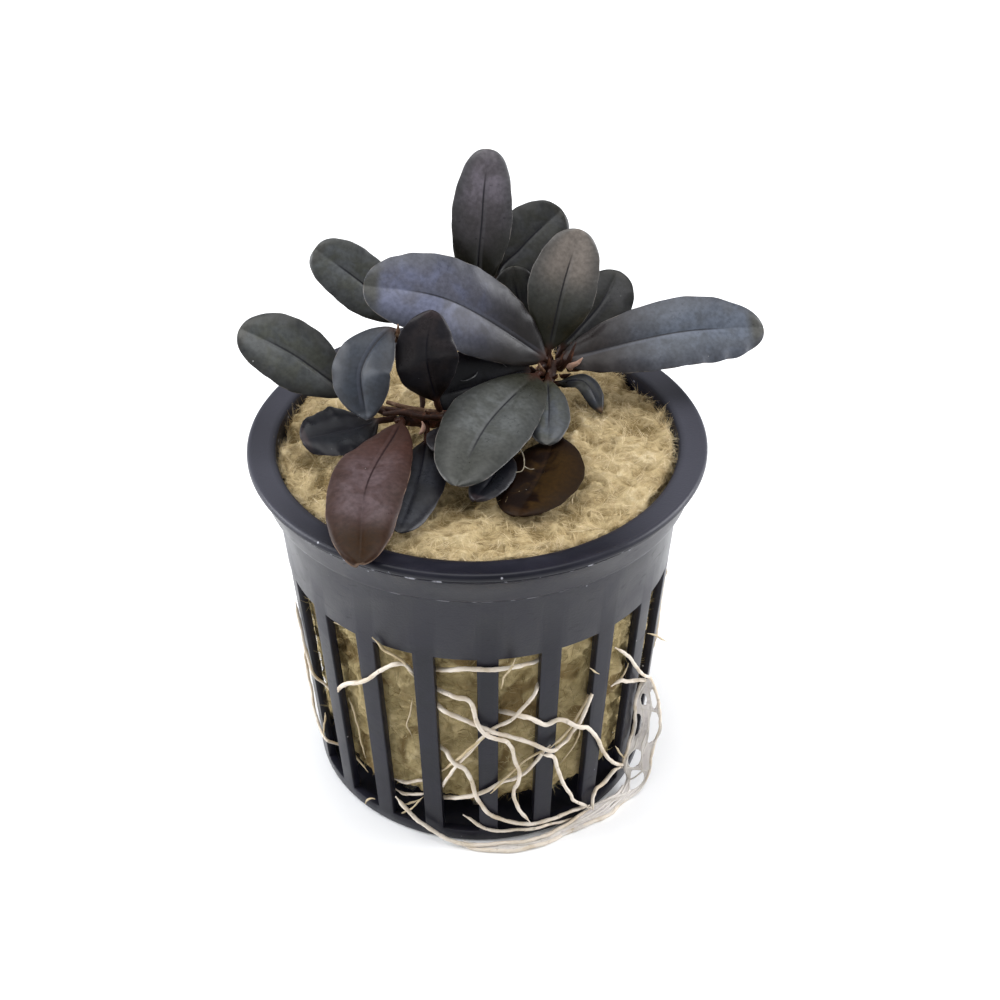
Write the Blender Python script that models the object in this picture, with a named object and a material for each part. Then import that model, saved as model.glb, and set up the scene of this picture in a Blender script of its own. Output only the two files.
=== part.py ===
"""Bucephalandra, a small aquarium plant, growing in rock wool in a slotted net pot.

Every size below is in millimetres and is turned into metres where a shape is made.
The origin is the centre of the pot's base, +Z is up, and the plant's front faces -Y.
An azimuth round the pot is 0 degrees at the front (-Y) and grows towards +X.
"""
import math

import bmesh
import bpy
from mathutils import Matrix, Vector

MM = 0.001
GAP = 0.3

# Net pot
POT_HEIGHT = 47.7
RIM_RADIUS = 27.5
RIM_HOLE_RADIUS = 24.0
FOOT_RADIUS = 21.9
SHOULDER_RADIUS = 24.6
SHOULDER_HEIGHT = 42.4
WALL = 1.1
FLOOR_PLATE = 1.4
FOOT_EDGE = 0.6
SKIRT_STEP = 1.0
SKIRT_EDGE = 0.8
LIP_STEP = 0.75
LIP_HEIGHT = 0.7
LIP_EDGE = 0.3
MOUTH_EDGE = 0.4
SLOT_COUNT = 20
COLUMNS_PER_SLOT = 3
FIRST_RIB_AZIMUTH = 2.0
SLOT_FOOT = 2.0
SLOT_TOP = 32.7
DRAIN_COUNT = 10
DRAIN_INNER = 8.0
DRAIN_OUTER = 17.0
DRAIN_WIDTH = 2.4
MERGE_DISTANCE = 0.01

# Rock wool: rings up its side, then rings across its top as shares of the top's radius
WOOL_TOP = 46.7
WOOL_SETBACK = 0.4
WOOL_COLUMNS = 36
WOOL_SIDE_HEIGHTS = (6.0, 16.0, 26.0, 36.0, 44.0)
WOOL_TOP_SHARES = (1.0, 0.93, 0.76, 0.52, 0.26)
WOOL_EDGE_INSET = 0.7
WOOL_EDGE_DROP = 0.5
WOOL_HOLLOW = 0.5
WOOL_LOBES = 5
LUMP_HEIGHT = 0.22
LUMP_PITCH = 0.5
RIPPLE_HEIGHT = 0.14
RIPPLE_PITCH = 0.6
DIP_PLACE = Vector((18.0, 15.0))
DIP_DEPTH = 0.7
DIP_RADIUS = 3.2

# Creeping stem: centre lines, radius and the swellings at old leaf scars
STEM_RADIUS = 1.25
STEM_STEP = 1.4
STEM_TAPER = 0.2
SCAR_SWELLING = 0.08
SCAR_WAIST = 0.04
STEM_SIDES_RESOLUTION = 2
CROWN_PATH = ((2.0, 5.0, 48.7), (5.0, 7.2, 48.8), (7.6, 9.2, 49.3), (8.9, 10.2, 51.2))
SHOOT_PATH = ((-0.2, 3.6, 48.6), (-4.0, 1.6, 48.7), (-9.4, 1.3, 49.1))

# Leaves
LEAF_THICKNESS = 0.55
STALK_RADIUS = 0.45
NECK_HALF_WIDTH = 0.5
LEAF_STEP = 0.25
NECK_STEPS = 2
STALK_RINGS = 3
BLADE_RINGS = 8
END_INSET = 0.4
RING_POINTS = 8

# Roots
ROOT_RADIUS = 0.35
ROOT_TAPER = 0.35
ROOT_STEP = 2.1
ROOT_SIDES_RESOLUTION = 1
TURN_IN = 1.2
FINE_STEP = 0.4
CROSSING_REACH = 2.6 * ROOT_RADIUS + GAP
HUMP_SLOPE = 0.9

# Points worked out on each stretch of a smooth path before it is spaced evenly
PATH_PARTS = 24


def clear_scene():
    for thing in list(bpy.data.objects):
        bpy.data.objects.remove(thing, do_unlink=True)


def make_material(name, colour, roughness):
    material = bpy.data.materials.new(name)
    material.use_nodes = True
    shader = material.node_tree.nodes["Principled BSDF"]
    shader.inputs["Base Color"].default_value = (*colour, 1.0)
    shader.inputs["Roughness"].default_value = roughness
    shader.inputs["Metallic"].default_value = 0.0
    return material


def finish_object(name, bm, material, sharp_degrees):
    """Turns a bmesh in millimetres into a smooth shaded object in metres."""
    bmesh.ops.scale(bm, vec=Vector((MM, MM, MM)), verts=bm.verts)
    bmesh.ops.recalc_face_normals(bm, faces=bm.faces)
    mesh = bpy.data.meshes.new(name)
    bm.to_mesh(mesh)
    bm.free()
    mesh.shade_smooth()
    mesh.set_sharp_from_angle(angle=math.radians(sharp_degrees))
    mesh.materials.append(material)
    thing = bpy.data.objects.new(name, mesh)
    bpy.context.collection.objects.link(thing)
    return thing


def join_rings(bm, rings):
    """Skins a stack of rings that have the same number of points."""
    for lower, upper in zip(rings, rings[1:]):
        for here in range(len(lower)):
            after = (here + 1) % len(lower)
            bm.faces.new((lower[here], lower[after], upper[after], upper[here]))


def round_the_pot(azimuth, radius, height):
    """The point at an azimuth in degrees and a distance from the pot's axis."""
    turn = math.radians(azimuth)
    return Vector((radius * math.sin(turn), -radius * math.cos(turn), height))


def wall_radius(height):
    """Outer radius of the tapered wall between the foot and the shoulder."""
    return FOOT_RADIUS + (SHOULDER_RADIUS - FOOT_RADIUS) * height / SHOULDER_HEIGHT


def pot_profile():
    """Radius and height of the pot's section, from the axis out, up and back inside."""
    skirt = SHOULDER_RADIUS + SKIRT_STEP
    outside = [
        (0.0, 0.0),
        (FOOT_RADIUS - FOOT_EDGE, 0.0),
        (wall_radius(FOOT_EDGE), FOOT_EDGE),
        (wall_radius(SLOT_FOOT), SLOT_FOOT),
        (wall_radius(SLOT_TOP), SLOT_TOP),
        (SHOULDER_RADIUS, SHOULDER_HEIGHT),
        (skirt, SHOULDER_HEIGHT + LIP_EDGE),
        (skirt + LIP_EDGE, SHOULDER_HEIGHT + SKIRT_EDGE),
        (RIM_RADIUS - LIP_STEP, POT_HEIGHT - 2 * LIP_HEIGHT),
        (RIM_RADIUS, POT_HEIGHT - LIP_HEIGHT),
        (RIM_RADIUS, POT_HEIGHT - LIP_EDGE),
        (RIM_RADIUS - LIP_EDGE, POT_HEIGHT),
    ]
    inside = [
        (RIM_HOLE_RADIUS + MOUTH_EDGE, POT_HEIGHT - LIP_EDGE),
        (RIM_HOLE_RADIUS, POT_HEIGHT - 2 * MOUTH_EDGE),
        (SHOULDER_RADIUS - WALL, SHOULDER_HEIGHT),
        (wall_radius(SLOT_TOP) - WALL, SLOT_TOP),
        (wall_radius(SLOT_FOOT) - WALL, SLOT_FOOT),
        (wall_radius(FLOOR_PLATE) - WALL, FLOOR_PLATE),
        (0.0, FLOOR_PLATE),
    ]
    return outside + inside


def slot_faces(bm, columns):
    """Faces of the two walls that stand where the slots are, slot by slot."""
    inner_wall = FOOT_RADIUS - 2 * WALL
    pitch = 360.0 / columns
    found = {}
    for face in bm.faces:
        middle = face.calc_center_median()
        on_a_wall = math.hypot(middle.x, middle.y) > inner_wall
        if not (on_a_wall and SLOT_FOOT < middle.z < SLOT_TOP):
            continue
        azimuth = math.degrees(math.atan2(middle.x, -middle.y)) - FIRST_RIB_AZIMUTH
        column = round(azimuth / pitch) % columns
        if column % COLUMNS_PER_SLOT:
            found.setdefault(column // COLUMNS_PER_SLOT, []).append(face)
    return found


def build_net_pot(material):
    """Spins the section round the axis, then opens a slot between each two ribs."""
    columns = SLOT_COUNT * COLUMNS_PER_SLOT
    half_column = 180.0 / columns
    bm = bmesh.new()
    points = []
    for radius, height in pot_profile():
        place = round_the_pot(FIRST_RIB_AZIMUTH + half_column, radius, height)
        points.append(bm.verts.new(place))
    edges = [bm.edges.new(pair) for pair in zip(points, points[1:])]
    bmesh.ops.spin(bm, geom=points + edges, cent=(0, 0, 0), axis=(0, 0, 1),
                   angle=math.tau, steps=columns, use_merge=True)
    bmesh.ops.remove_doubles(bm, verts=bm.verts, dist=MERGE_DISTANCE)
    bmesh.ops.recalc_face_normals(bm, faces=bm.faces)
    for faces in slot_faces(bm, columns).values():
        bmesh.ops.delete(bm, geom=faces, context="FACES")
        open_edges = [edge for edge in bm.edges if edge.is_boundary]
        bmesh.ops.bridge_loops(bm, edges=open_edges)
    pot = finish_object("net_pot", bm, material, 30.0)
    add_drain_holes(pot)
    return pot


def add_drain_holes(pot):
    """Cuts a ring of drain slots through the floor plate, round a solid centre."""
    bm = bmesh.new()
    middle = Vector(((DRAIN_INNER + DRAIN_OUTER) / 2, 0.0, FLOOR_PLATE / 2))
    size = (DRAIN_OUTER - DRAIN_INNER, DRAIN_WIDTH, 3 * FLOOR_PLATE, 1.0)
    for number in range(DRAIN_COUNT):
        turned = Matrix.Rotation(math.tau * (number + 0.5) / DRAIN_COUNT, 4, "Z")
        place = turned @ Matrix.Translation(middle) @ Matrix.Diagonal(size)
        bmesh.ops.create_cube(bm, size=1.0, matrix=place)
    cutter = finish_object("drain_cutter", bm, pot.data.materials[0], 30.0)
    cutter.hide_render = True
    cutter.display_type = "WIRE"
    drain = pot.modifiers.new("drain holes", "BOOLEAN")
    drain.operation = "DIFFERENCE"
    drain.solver = "EXACT"
    drain.object = cutter


def wool_height(x, y):
    """Uneven top of the wool: low lumps that fade out at the edge and a dip at the back right."""
    fade = max(0.0, 1.0 - (math.hypot(x, y) / RIM_HOLE_RADIUS) ** 4)
    lump = LUMP_HEIGHT * math.sin(LUMP_PITCH * x) * math.cos(LUMP_PITCH * y)
    ripple = RIPPLE_HEIGHT * math.sin(RIPPLE_PITCH * (y - x))
    from_dip = (Vector((x, y)) - DIP_PLACE).length / DIP_RADIUS
    return WOOL_TOP + fade * (lump + ripple) - DIP_DEPTH * math.exp(-from_dip ** 2)


def wool_side_ring(height, number):
    """A ring round the block's side, with shallow hollows that shift from ring to ring."""
    ring = []
    for column in range(WOOL_COLUMNS):
        turn = math.tau * column / WOOL_COLUMNS
        hollow = WOOL_HOLLOW * (1.0 - math.sin(WOOL_LOBES * turn + number)) / 2
        radius = wall_radius(height) - WALL - WOOL_SETBACK - hollow
        ring.append(Vector((radius * math.cos(turn), radius * math.sin(turn), height)))
    return ring


def wool_top_ring(share):
    """A ring on the uneven top; the outermost one is rounded down."""
    ring = []
    drop = WOOL_EDGE_DROP if share == WOOL_TOP_SHARES[0] else 0.0
    radius = share * (RIM_HOLE_RADIUS - WOOL_EDGE_INSET)
    for column in range(WOOL_COLUMNS):
        turn = math.tau * column / WOOL_COLUMNS
        x = radius * math.cos(turn)
        y = radius * math.sin(turn)
        ring.append(Vector((x, y, wool_height(x, y) - drop)))
    return ring


def build_rock_wool(material):
    """A block of wool that fills the pot, standing a little back from its ribs."""
    rings = [wool_side_ring(height, number) for number, height in enumerate(WOOL_SIDE_HEIGHTS)]
    rings += [wool_top_ring(share) for share in WOOL_TOP_SHARES]
    bm = bmesh.new()
    made = [[bm.verts.new(place) for place in ring] for ring in rings]
    join_rings(bm, made)
    bm.faces.new(reversed(made[0]))
    centre = bm.verts.new((0.0, 0.0, wool_height(0.0, 0.0)))
    for column in range(WOOL_COLUMNS):
        after = (column + 1) % WOOL_COLUMNS
        bm.faces.new((made[-1][column], made[-1][after], centre))
    return finish_object("rock_wool", bm, material, 60.0)


def smooth_path(points, step):
    """Evenly spaced points about one step apart on a smooth curve through the given points."""
    path = [Vector(point) for point in points]
    ends = [2 * path[0] - path[1]] + path + [2 * path[-1] - path[-2]]
    fine = []
    for before, here, after, beyond in zip(ends, ends[1:], ends[2:], ends[3:]):
        for part in range(PATH_PARTS):
            t = part / PATH_PARTS
            fine.append(0.5 * (2 * here + (after - before) * t
                               + (2 * before - 5 * here + 4 * after - beyond) * t ** 2
                               + (3 * here - before - 3 * after + beyond) * t ** 3))
    fine.append(path[-1])
    lengths = [0.0]
    for one, other in zip(fine, fine[1:]):
        lengths.append(lengths[-1] + (other - one).length)
    count = max(2, round(lengths[-1] / step) + 1)
    spaced = []
    segment = 0
    for number in range(count):
        target = lengths[-1] * number / (count - 1)
        while segment < len(fine) - 2 and lengths[segment + 1] < target:
            segment += 1
        span = lengths[segment + 1] - lengths[segment]
        share = (target - lengths[segment]) / span if span else 0.0
        spaced.append(fine[segment].lerp(fine[segment + 1], min(1.0, share)))
    return spaced


def build_tube(name, path, radii, material, resolution):
    """A round tube with closed ends along a path in millimetres."""
    curve = bpy.data.curves.new(name, "CURVE")
    curve.dimensions = "3D"
    curve.bevel_depth = MM
    curve.bevel_resolution = resolution
    curve.use_fill_caps = True
    spline = curve.splines.new("POLY")
    spline.points.add(len(path) - 1)
    for spot, place, radius in zip(spline.points, path, radii):
        spot.co = (*(place * MM), 1.0)
        spot.radius = radius
    curve.materials.append(material)
    tube = bpy.data.objects.new(name, curve)
    bpy.context.collection.objects.link(tube)
    return tube


def build_stem(name, route, material):
    """A length of creeping stem, thinner at its growing end and knobbly from old leaf scars."""
    path = smooth_path(route, STEM_STEP)
    radii = []
    for number in range(len(path)):
        share = number / (len(path) - 1)
        scar = SCAR_SWELLING if number % 2 else -SCAR_WAIST
        radii.append(STEM_RADIUS * (1.0 - STEM_TAPER * share + scar))
    return build_tube(name, path, radii, material, STEM_SIDES_RESOLUTION)


def blade_outline(share, widest):
    """Half width of a blade as a share of its widest: tapered stalk end, round tip."""
    if share < widest:
        return math.cos(math.pi / 2 * (widest - share) / widest)
    beyond = (share - widest) / (1.0 - widest)
    return math.sqrt(max(0.0, 1.0 - beyond * beyond))


def leaf_ring(bm, centre, aside, upward, half_width, half_thick, fold):
    """A flat oval section of a leaf, whose edges rise by its fold times the half width."""
    ring = []
    for number in range(RING_POINTS):
        turn = math.tau * number / RING_POINTS
        across = half_width * math.cos(turn)
        lift = fold * half_width * math.cos(turn) ** 2 + half_thick * math.sin(turn)
        ring.append(bm.verts.new(centre + aside * across + upward * lift))
    return ring


def leaf_stations(stalk, base, middle, tip, width, widest, fold):
    """Sections along a leaf: place, half width, half thickness and fold."""
    path = smooth_path([stalk, base, middle, tip], LEAF_STEP)
    split = min(range(len(path)), key=lambda spot: (path[spot] - Vector(base)).length)
    blade = path[split:]
    stalk_end = max(1, split - NECK_STEPS)
    stations = []
    for number in range(STALK_RINGS):
        place = path[round(number * stalk_end / (STALK_RINGS - 1))]
        stations.append((place, STALK_RADIUS, STALK_RADIUS, 0.0))
    for number in range(BLADE_RINGS):
        turn = math.pi * (number + END_INSET) / (BLADE_RINGS - 1 + 2 * END_INSET)
        share = 0.5 - 0.5 * math.cos(turn)
        place = blade[round(share * (len(blade) - 1))]
        half_width = max(NECK_HALF_WIDTH, 0.5 * width * blade_outline(share, widest))
        half_thick = 0.5 * LEAF_THICKNESS
        if number == 0:
            half_thick = 0.5 * (half_thick + STALK_RADIUS)
        stations.append((place, half_width, half_thick, fold))
    return stations


def build_leaf(name, stalk, base, middle, tip, width, face, widest, fold, material):
    """One leaf in one piece: a round stalk that widens into a thin oval blade."""
    faces_to = Vector(face).normalized()
    stations = leaf_stations(stalk, base, middle, tip, width, widest, fold)
    bm = bmesh.new()
    rings = []
    for number, (place, half_width, half_thick, lift) in enumerate(stations):
        before = stations[max(0, number - 1)][0]
        after = stations[min(len(stations) - 1, number + 1)][0]
        along = (after - before).normalized()
        aside = along.cross(faces_to).normalized()
        upward = aside.cross(along)
        rings.append(leaf_ring(bm, place, aside, upward, half_width, half_thick, lift))
    join_rings(bm, rings)
    bm.faces.new(reversed(rings[0]))
    bm.faces.new(rings[-1])
    return finish_object(name, bm, material, 70.0)


# Each leaf: where its stalk leaves the stem, the base, middle and tip of its blade, the
# blade's width, the way its upper face looks, how far along it is widest, and its fold.
LEAVES = {
    "leaf_upright": ((7.6, 11.6, 51.2), (0.8, 13.0, 61.0), (0.9, 15.0, 69.0), (1.7, 18.0, 76.0),
                     7.3, (0.1, -1.0, 0.45), 0.55, 0.1),
    "leaf_back": ((9.0, 12.2, 51.4), (4.8, 16.0, 58.0), (7.5, 18.0, 63.3), (10.5, 20.0, 67.2),
                  6.8, (-0.2, -1.0, 0.6), 0.6, 0.12),
    "leaf_oval": ((9.4, 10.5, 52.0), (9.3, 10.0, 55.0), (10.5, 11.0, 61.3), (12.6, 14.0, 67.4),
                  8.3, (0.0, -1.0, 0.7), 0.56, 0.12),
    "leaf_right_back": ((10.7, 11.0, 51.0), (12.3, 12.2, 53.2), (15.2, 15.0, 56.0), (17.4, 18.0, 59.5),
                        7.0, (-0.3, -1.0, 0.7), 0.6, 0.12),
    "leaf_long_right": ((10.6, 9.4, 50.2), (12.8, 9.3, 51.3), (24.3, 10.0, 55.3), (35.6, 12.0, 54.8),
                        9.2, (0.0, -1.0, 1.3), 0.55, 0.08),
    "leaf_long_left": ((7.5, 9.0, 51.6), (6.0, 8.7, 54.6), (-2.8, 6.0, 62.2), (-13.0, 5.0, 65.0),
                       10.4, (0.0, -1.0, 1.0), 0.5, 0.08),
    "leaf_left_back": ((5.6, 9.9, 50.0), (-8.2, 11.0, 56.8), (-14.0, 12.0, 61.8), (-19.2, 13.0, 65.7),
                       7.2, (0.0, -1.0, 0.9), 0.55, 0.12),
    "leaf_far_left": ((-10.9, 1.8, 49.4), (-15.0, 1.5, 52.2), (-21.5, 1.5, 58.0), (-27.5, 3.0, 60.6),
                      8.2, (0.0, -1.0, 1.2), 0.6, 0.12),
    "leaf_arching": ((-9.7, 2.9, 50.3), (-9.6, 0.9, 61.0), (-13.0, -3.2, 58.8), (-12.6, -6.0, 53.5),
                     7.6, (-0.6, -1.0, 0.9), 0.45, 0.1),
    "leaf_black": ((-4.5, 0.9, 50.4), (-4.8, 0.5, 51.8), (-5.8, -0.4, 58.6), (-5.0, 2.0, 63.3),
                   7.4, (0.1, -1.0, 0.5), 0.5, 0.12),
    "leaf_front": ((7.2, 7.4, 50.6), (6.6, 6.4, 51.2), (1.3, -4.0, 51.6), (-2.5, -15.0, 50.6),
                   10.4, (0.0, -0.35, 1.0), 0.5, 0.08),
    "leaf_low_left": ((-11.0, 0.9, 49.0), (-11.8, 0.4, 49.2), (-15.6, -2.0, 49.5), (-20.5, -4.5, 49.8),
                      8.0, (0.0, -0.3, 1.0), 0.5, 0.08),
    "leaf_over_rim": ((-9.6, -0.4, 49.6), (-9.0, -1.6, 50.0), (-11.7, -15.0, 50.8), (-12.5, -26.2, 48.6),
                      9.6, (0.0, -0.3, 1.0), 0.55, 0.06),
    "leaf_dark_front": ((-6.2, -0.3, 48.8), (-6.0, -3.0, 48.7), (-6.8, -12.0, 49.0), (-8.8, -20.5, 48.4),
                        6.2, (0.1, -0.2, 1.0), 0.5, 0.08),
    "leaf_small_grey": ((8.8, 8.1, 50.6), (8.6, 5.6, 50.3), (8.4, 0.6, 50.0), (8.1, -4.4, 48.9),
                        5.0, (0.0, -0.3, 1.0), 0.6, 0.1),
    "leaf_brown": ((9.4, 7.5, 48.5), (9.3, -1.0, 48.0), (7.3, -9.5, 48.0), (4.3, -17.0, 47.8),
                   9.8, (-0.12, -0.1, 1.0), 0.5, 0.05),
    "leaf_hooked": ((10.2, 8.4, 49.4), (11.2, 8.0, 50.0), (13.8, 6.0, 50.2), (15.3, 3.0, 48.1),
                    3.6, (0.0, -0.2, 1.0), 0.5, 0.1),
    "leaf_tiny_dark": ((-3.6, -0.3, 49.2), (-3.8, -1.4, 49.3), (-4.4, -4.6, 50.2), (-4.6, -7.6, 50.1),
                       3.2, (0.1, -0.2, 1.0), 0.5, 0.1),
    "leaf_inner_back": ((7.5, 10.3, 52.2), (5.4, 12.4, 56.9), (5.5, 12.8, 59.9), (5.7, 13.6, 62.1),
                        3.6, (0.0, -1.0, 0.6), 0.5, 0.1),
    "leaf_inner_left": ((5.2, 8.6, 50.5), (4.4, 8.3, 51.4), (2.0, 7.7, 53.0), (-0.6, 7.2, 54.9),
                        3.4, (0.0, -1.0, 1.0), 0.5, 0.1),
    "leaf_under": ((4.3, 4.5, 48.6), (3.3, -5.1, 48.8), (1.8, -10.8, 48.9), (-0.4, -15.3, 48.8),
                   4.6, (0.0, -0.1, 1.0), 0.5, 0.05),
}

# Leaf colours. A leaf that no other list names is slate.
SLATE_COLOUR = (0.085, 0.09, 0.095)
LEAF_COLOURS = {
    "blue_leaf": ((0.095, 0.105, 0.14), ("leaf_long_left", "leaf_long_right", "leaf_arching")),
    "plum_leaf": ((0.13, 0.1, 0.11), ("leaf_upright", "leaf_over_rim")),
    "dark_leaf": ((0.03, 0.03, 0.036), ("leaf_black", "leaf_low_left", "leaf_dark_front",
                                        "leaf_tiny_dark", "leaf_inner_left", "leaf_under")),
    "brown_leaf": ((0.06, 0.035, 0.018), ("leaf_brown",)),
}
LEAF_ROUGHNESS = 0.4

# Each root: its course as (azimuth, height) along the wall, in the order they were laid.
# "in" at an end means that the end turns in through a slot to the wool behind.
WALL_ROOTS = {
    "root_left_long": (((-46.5, 20.5), (-38.0, 24.5), (-29.7, 28.0), (-22.0, 30.4)), "in", "in"),
    "root_left_loose": (((-30.5, 33.6), (-27.5, 32.6), (-23.0, 31.8)), "out", "out"),
    "root_front_high": (((-11.0, 31.7), (-3.0, 31.7), (6.0, 31.9), (15.0, 31.9)), "in", "in"),
    "root_front_main": (((-11.0, 28.2), (-6.5, 27.0), (-2.0, 25.3), (3.4, 21.0), (9.0, 18.6),
                         (11.3, 12.5), (11.2, 7.5), (15.5, 3.6)), "in", "out"),
    "root_front_cross": (((-11.0, 25.6), (-5.0, 23.6), (5.6, 21.2), (16.0, 18.6), (24.5, 17.0),
                          (30.0, 18.6), (33.0, 22.0)), "in", "in"),
    "root_right_fall": (((6.6, 24.5), (15.5, 22.4), (25.4, 20.3), (35.0, 17.2), (42.0, 11.2),
                         (48.0, 7.0), (55.0, 4.6)), "in", "out"),
    "root_front_back": (((15.0, 28.3), (9.0, 22.9), (0.0, 19.6), (-6.5, 15.7), (-11.0, 13.2)), "in", "in"),
    "root_front_low": (((-11.0, 17.4), (-6.5, 15.6), (-2.6, 11.8), (1.2, 7.4), (9.0, 4.7), (18.0, 3.4)),
                       "in", "out"),
    "root_rising": (((-11.0, 8.6), (-3.2, 9.6), (3.4, 11.0), (11.0, 13.0), (22.0, 18.0), (30.5, 23.4)),
                    "in", "out"),
    "root_right_low": (((19.5, 16.4), (24.0, 13.2), (27.0, 9.0), (31.0, 5.2), (35.5, 2.6)), "out", "out"),
    "root_left_low": (((-28.5, 9.6), (-24.0, 10.4), (-20.5, 10.8)), "in", "out"),
    "root_left_side": (((-45.0, 10.4), (-54.0, 12.6), (-60.0, 19.0), (-63.0, 26.0)), "in", "in"),
    "root_left_edge": (((-63.0, 8.0), (-74.0, 11.0), (-81.0, 18.0), (-79.0, 26.5)), "in", "in"),
    "root_back_left": (((-117.0, 27.5), (-128.0, 22.0), (-133.0, 13.0), (-146.0, 5.0)), "in", "out"),
    "root_back_high": (((152.0, 30.0), (163.0, 27.5), (176.0, 29.5), (188.0, 26.0)), "in", "in"),
    "root_back_low": (((209.0, 15.5), (196.0, 11.0), (184.0, 12.5), (172.5, 7.0)), "in", "in"),
    "root_back_right": (((101.0, 24.0), (112.0, 19.0), (121.0, 10.0), (133.0, 4.6)), "in", "out"),
    "root_far_right": (((83.0, 29.0), (90.0, 24.0), (87.0, 16.0), (96.0, 8.0)), "in", "out"),
}

# Roots that leave the wall and hang or lie clear of it: (azimuth, radius, height).
FREE_ROOTS = {
    "root_foot_front": ((-28.0, 23.1, 6.8), (-21.0, 22.9, 3.6), (-13.0, 22.9, 1.5), (-4.0, 23.4, 0.36),
                        (6.0, 24.2, 0.36), (18.0, 24.2, 0.36), (29.0, 23.4, 0.5)),
    "root_foot_right": ((22.0, 25.0, 0.36), (36.0, 24.6, 0.36), (49.0, 24.3, 0.36), (60.0, 24.2, 0.4),
                        (70.0, 24.2, 1.6), (76.0, 24.5, 5.5), (76.0, 24.8, 10.0)),
    "root_right_outer": ((42.0, 23.9, 29.0), (48.0, 24.9, 26.2), (54.0, 25.7, 21.2), (60.0, 26.1, 14.5),
                         (61.0, 26.1, 8.5), (56.0, 25.9, 3.6), (47.0, 25.8, 0.8), (38.0, 25.8, 0.36)),
    "root_right_inner": ((42.5, 23.8, 22.0), (48.0, 24.8, 19.8), (55.0, 25.6, 18.6), (59.0, 25.2, 13.0),
                         (57.0, 24.6, 8.0), (64.0, 24.2, 4.6)),
}


def spread_humps(lifts):
    """Lets a root fall away slowly on both sides of each root that it passes over."""
    drop = HUMP_SLOPE * FINE_STEP
    for number in range(1, len(lifts)):
        lifts[number] = max(lifts[number], lifts[number - 1] - drop)
    for number in range(len(lifts) - 2, -1, -1):
        lifts[number] = max(lifts[number], lifts[number + 1] - drop)


def lay_root(course, laid):
    """Lays a root on the wall and over those laid before it; gives azimuth, height and lift."""
    flat = [Vector((math.radians(azimuth) * wall_radius(height), height, 0.0))
            for azimuth, height in course]
    route = smooth_path(flat, FINE_STEP)
    lifts = [ROOT_RADIUS + GAP] * len(route)
    for number, spot in enumerate(route):
        for other_route, other_lifts in laid:
            for other, other_lift in zip(other_route, other_lifts):
                if (spot - other).length < CROSSING_REACH:
                    lifts[number] = max(lifts[number], other_lift + 2 * ROOT_RADIUS + GAP)
    spread_humps(lifts)
    laid.append((route, lifts))
    return [(math.degrees(spot.x / wall_radius(spot.y)), spot.y, lift)
            for spot, lift in zip(route, lifts)]


def thin_out(points, start, end):
    """Keeps a point every root step, as high as the highest it stands for, and turns ends in."""
    stride = round(ROOT_STEP / FINE_STEP)
    turn = round(TURN_IN / FINE_STEP)
    first = turn if start == "in" else 0
    last = len(points) - 1 - (turn if end == "in" else 0)
    steps = max(1, round((last - first) / stride))
    kept = []
    for number in range(steps + 1):
        centre = first + round((last - first) * number / steps)
        near = points[max(first, centre - stride // 2):min(last, centre + stride // 2) + 1]
        azimuth, height, _ = points[centre]
        kept.append((azimuth, height, max(lift for _, _, lift in near)))
    depth = WALL + WOOL_SETBACK - GAP - ROOT_RADIUS
    if start == "in":
        kept.insert(0, (points[0][0], points[0][1], -depth))
    if end == "in":
        kept.append((points[-1][0], points[-1][1], -depth))
    return kept


def build_wall_roots(material):
    laid = []
    for name, (course, start, end) in WALL_ROOTS.items():
        path = []
        for azimuth, height, lift in thin_out(lay_root(course, laid), start, end):
            path.append(round_the_pot(azimuth, wall_radius(height) + lift, height))
        last = len(path) - 1
        radii = [ROOT_RADIUS * (1.0 - ROOT_TAPER * number / last) for number in range(last + 1)]
        build_tube(name, path, radii, material, ROOT_SIDES_RESOLUTION)


def build_free_roots(material):
    for name, course in FREE_ROOTS.items():
        path = smooth_path([round_the_pot(*place) for place in course], ROOT_STEP)
        build_tube(name, path, [ROOT_RADIUS] * len(path), material, ROOT_SIDES_RESOLUTION)


def build_leaves():
    slate = make_material("slate_leaf", SLATE_COLOUR, LEAF_ROUGHNESS)
    finishes = {}
    for slot, (colour, names) in LEAF_COLOURS.items():
        material = make_material(slot, colour, LEAF_ROUGHNESS)
        for name in names:
            finishes[name] = material
    for name, sizes in LEAVES.items():
        build_leaf(name, *sizes, finishes.get(name, slate))


def main():
    clear_scene()
    build_net_pot(make_material("black_plastic", (0.05, 0.052, 0.065), 0.35))
    build_rock_wool(make_material("stone_wool", (0.6, 0.49, 0.27), 0.95))
    stem = make_material("red_stem", (0.12, 0.045, 0.03), 0.5)
    build_stem("stem_crown", CROWN_PATH, stem)
    build_stem("stem_side_shoot", SHOOT_PATH, stem)
    build_leaves()
    root = make_material("cream_root", (0.72, 0.66, 0.54), 0.6)
    build_wall_roots(root)
    build_free_roots(root)


main()
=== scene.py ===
# %% [markdown]
# A small water plant grows on rock wool in a black net pot. This lesson dresses the packed
# solids of that plant. Nothing here moves the solids. Each one is hidden, and a finer piece is
# grown in its place, mostly within a few millimetres of it.

# %% Load the frame
import math

import bmesh
import bpy
import numpy as np
from mathutils import Matrix, Vector, noise


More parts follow.
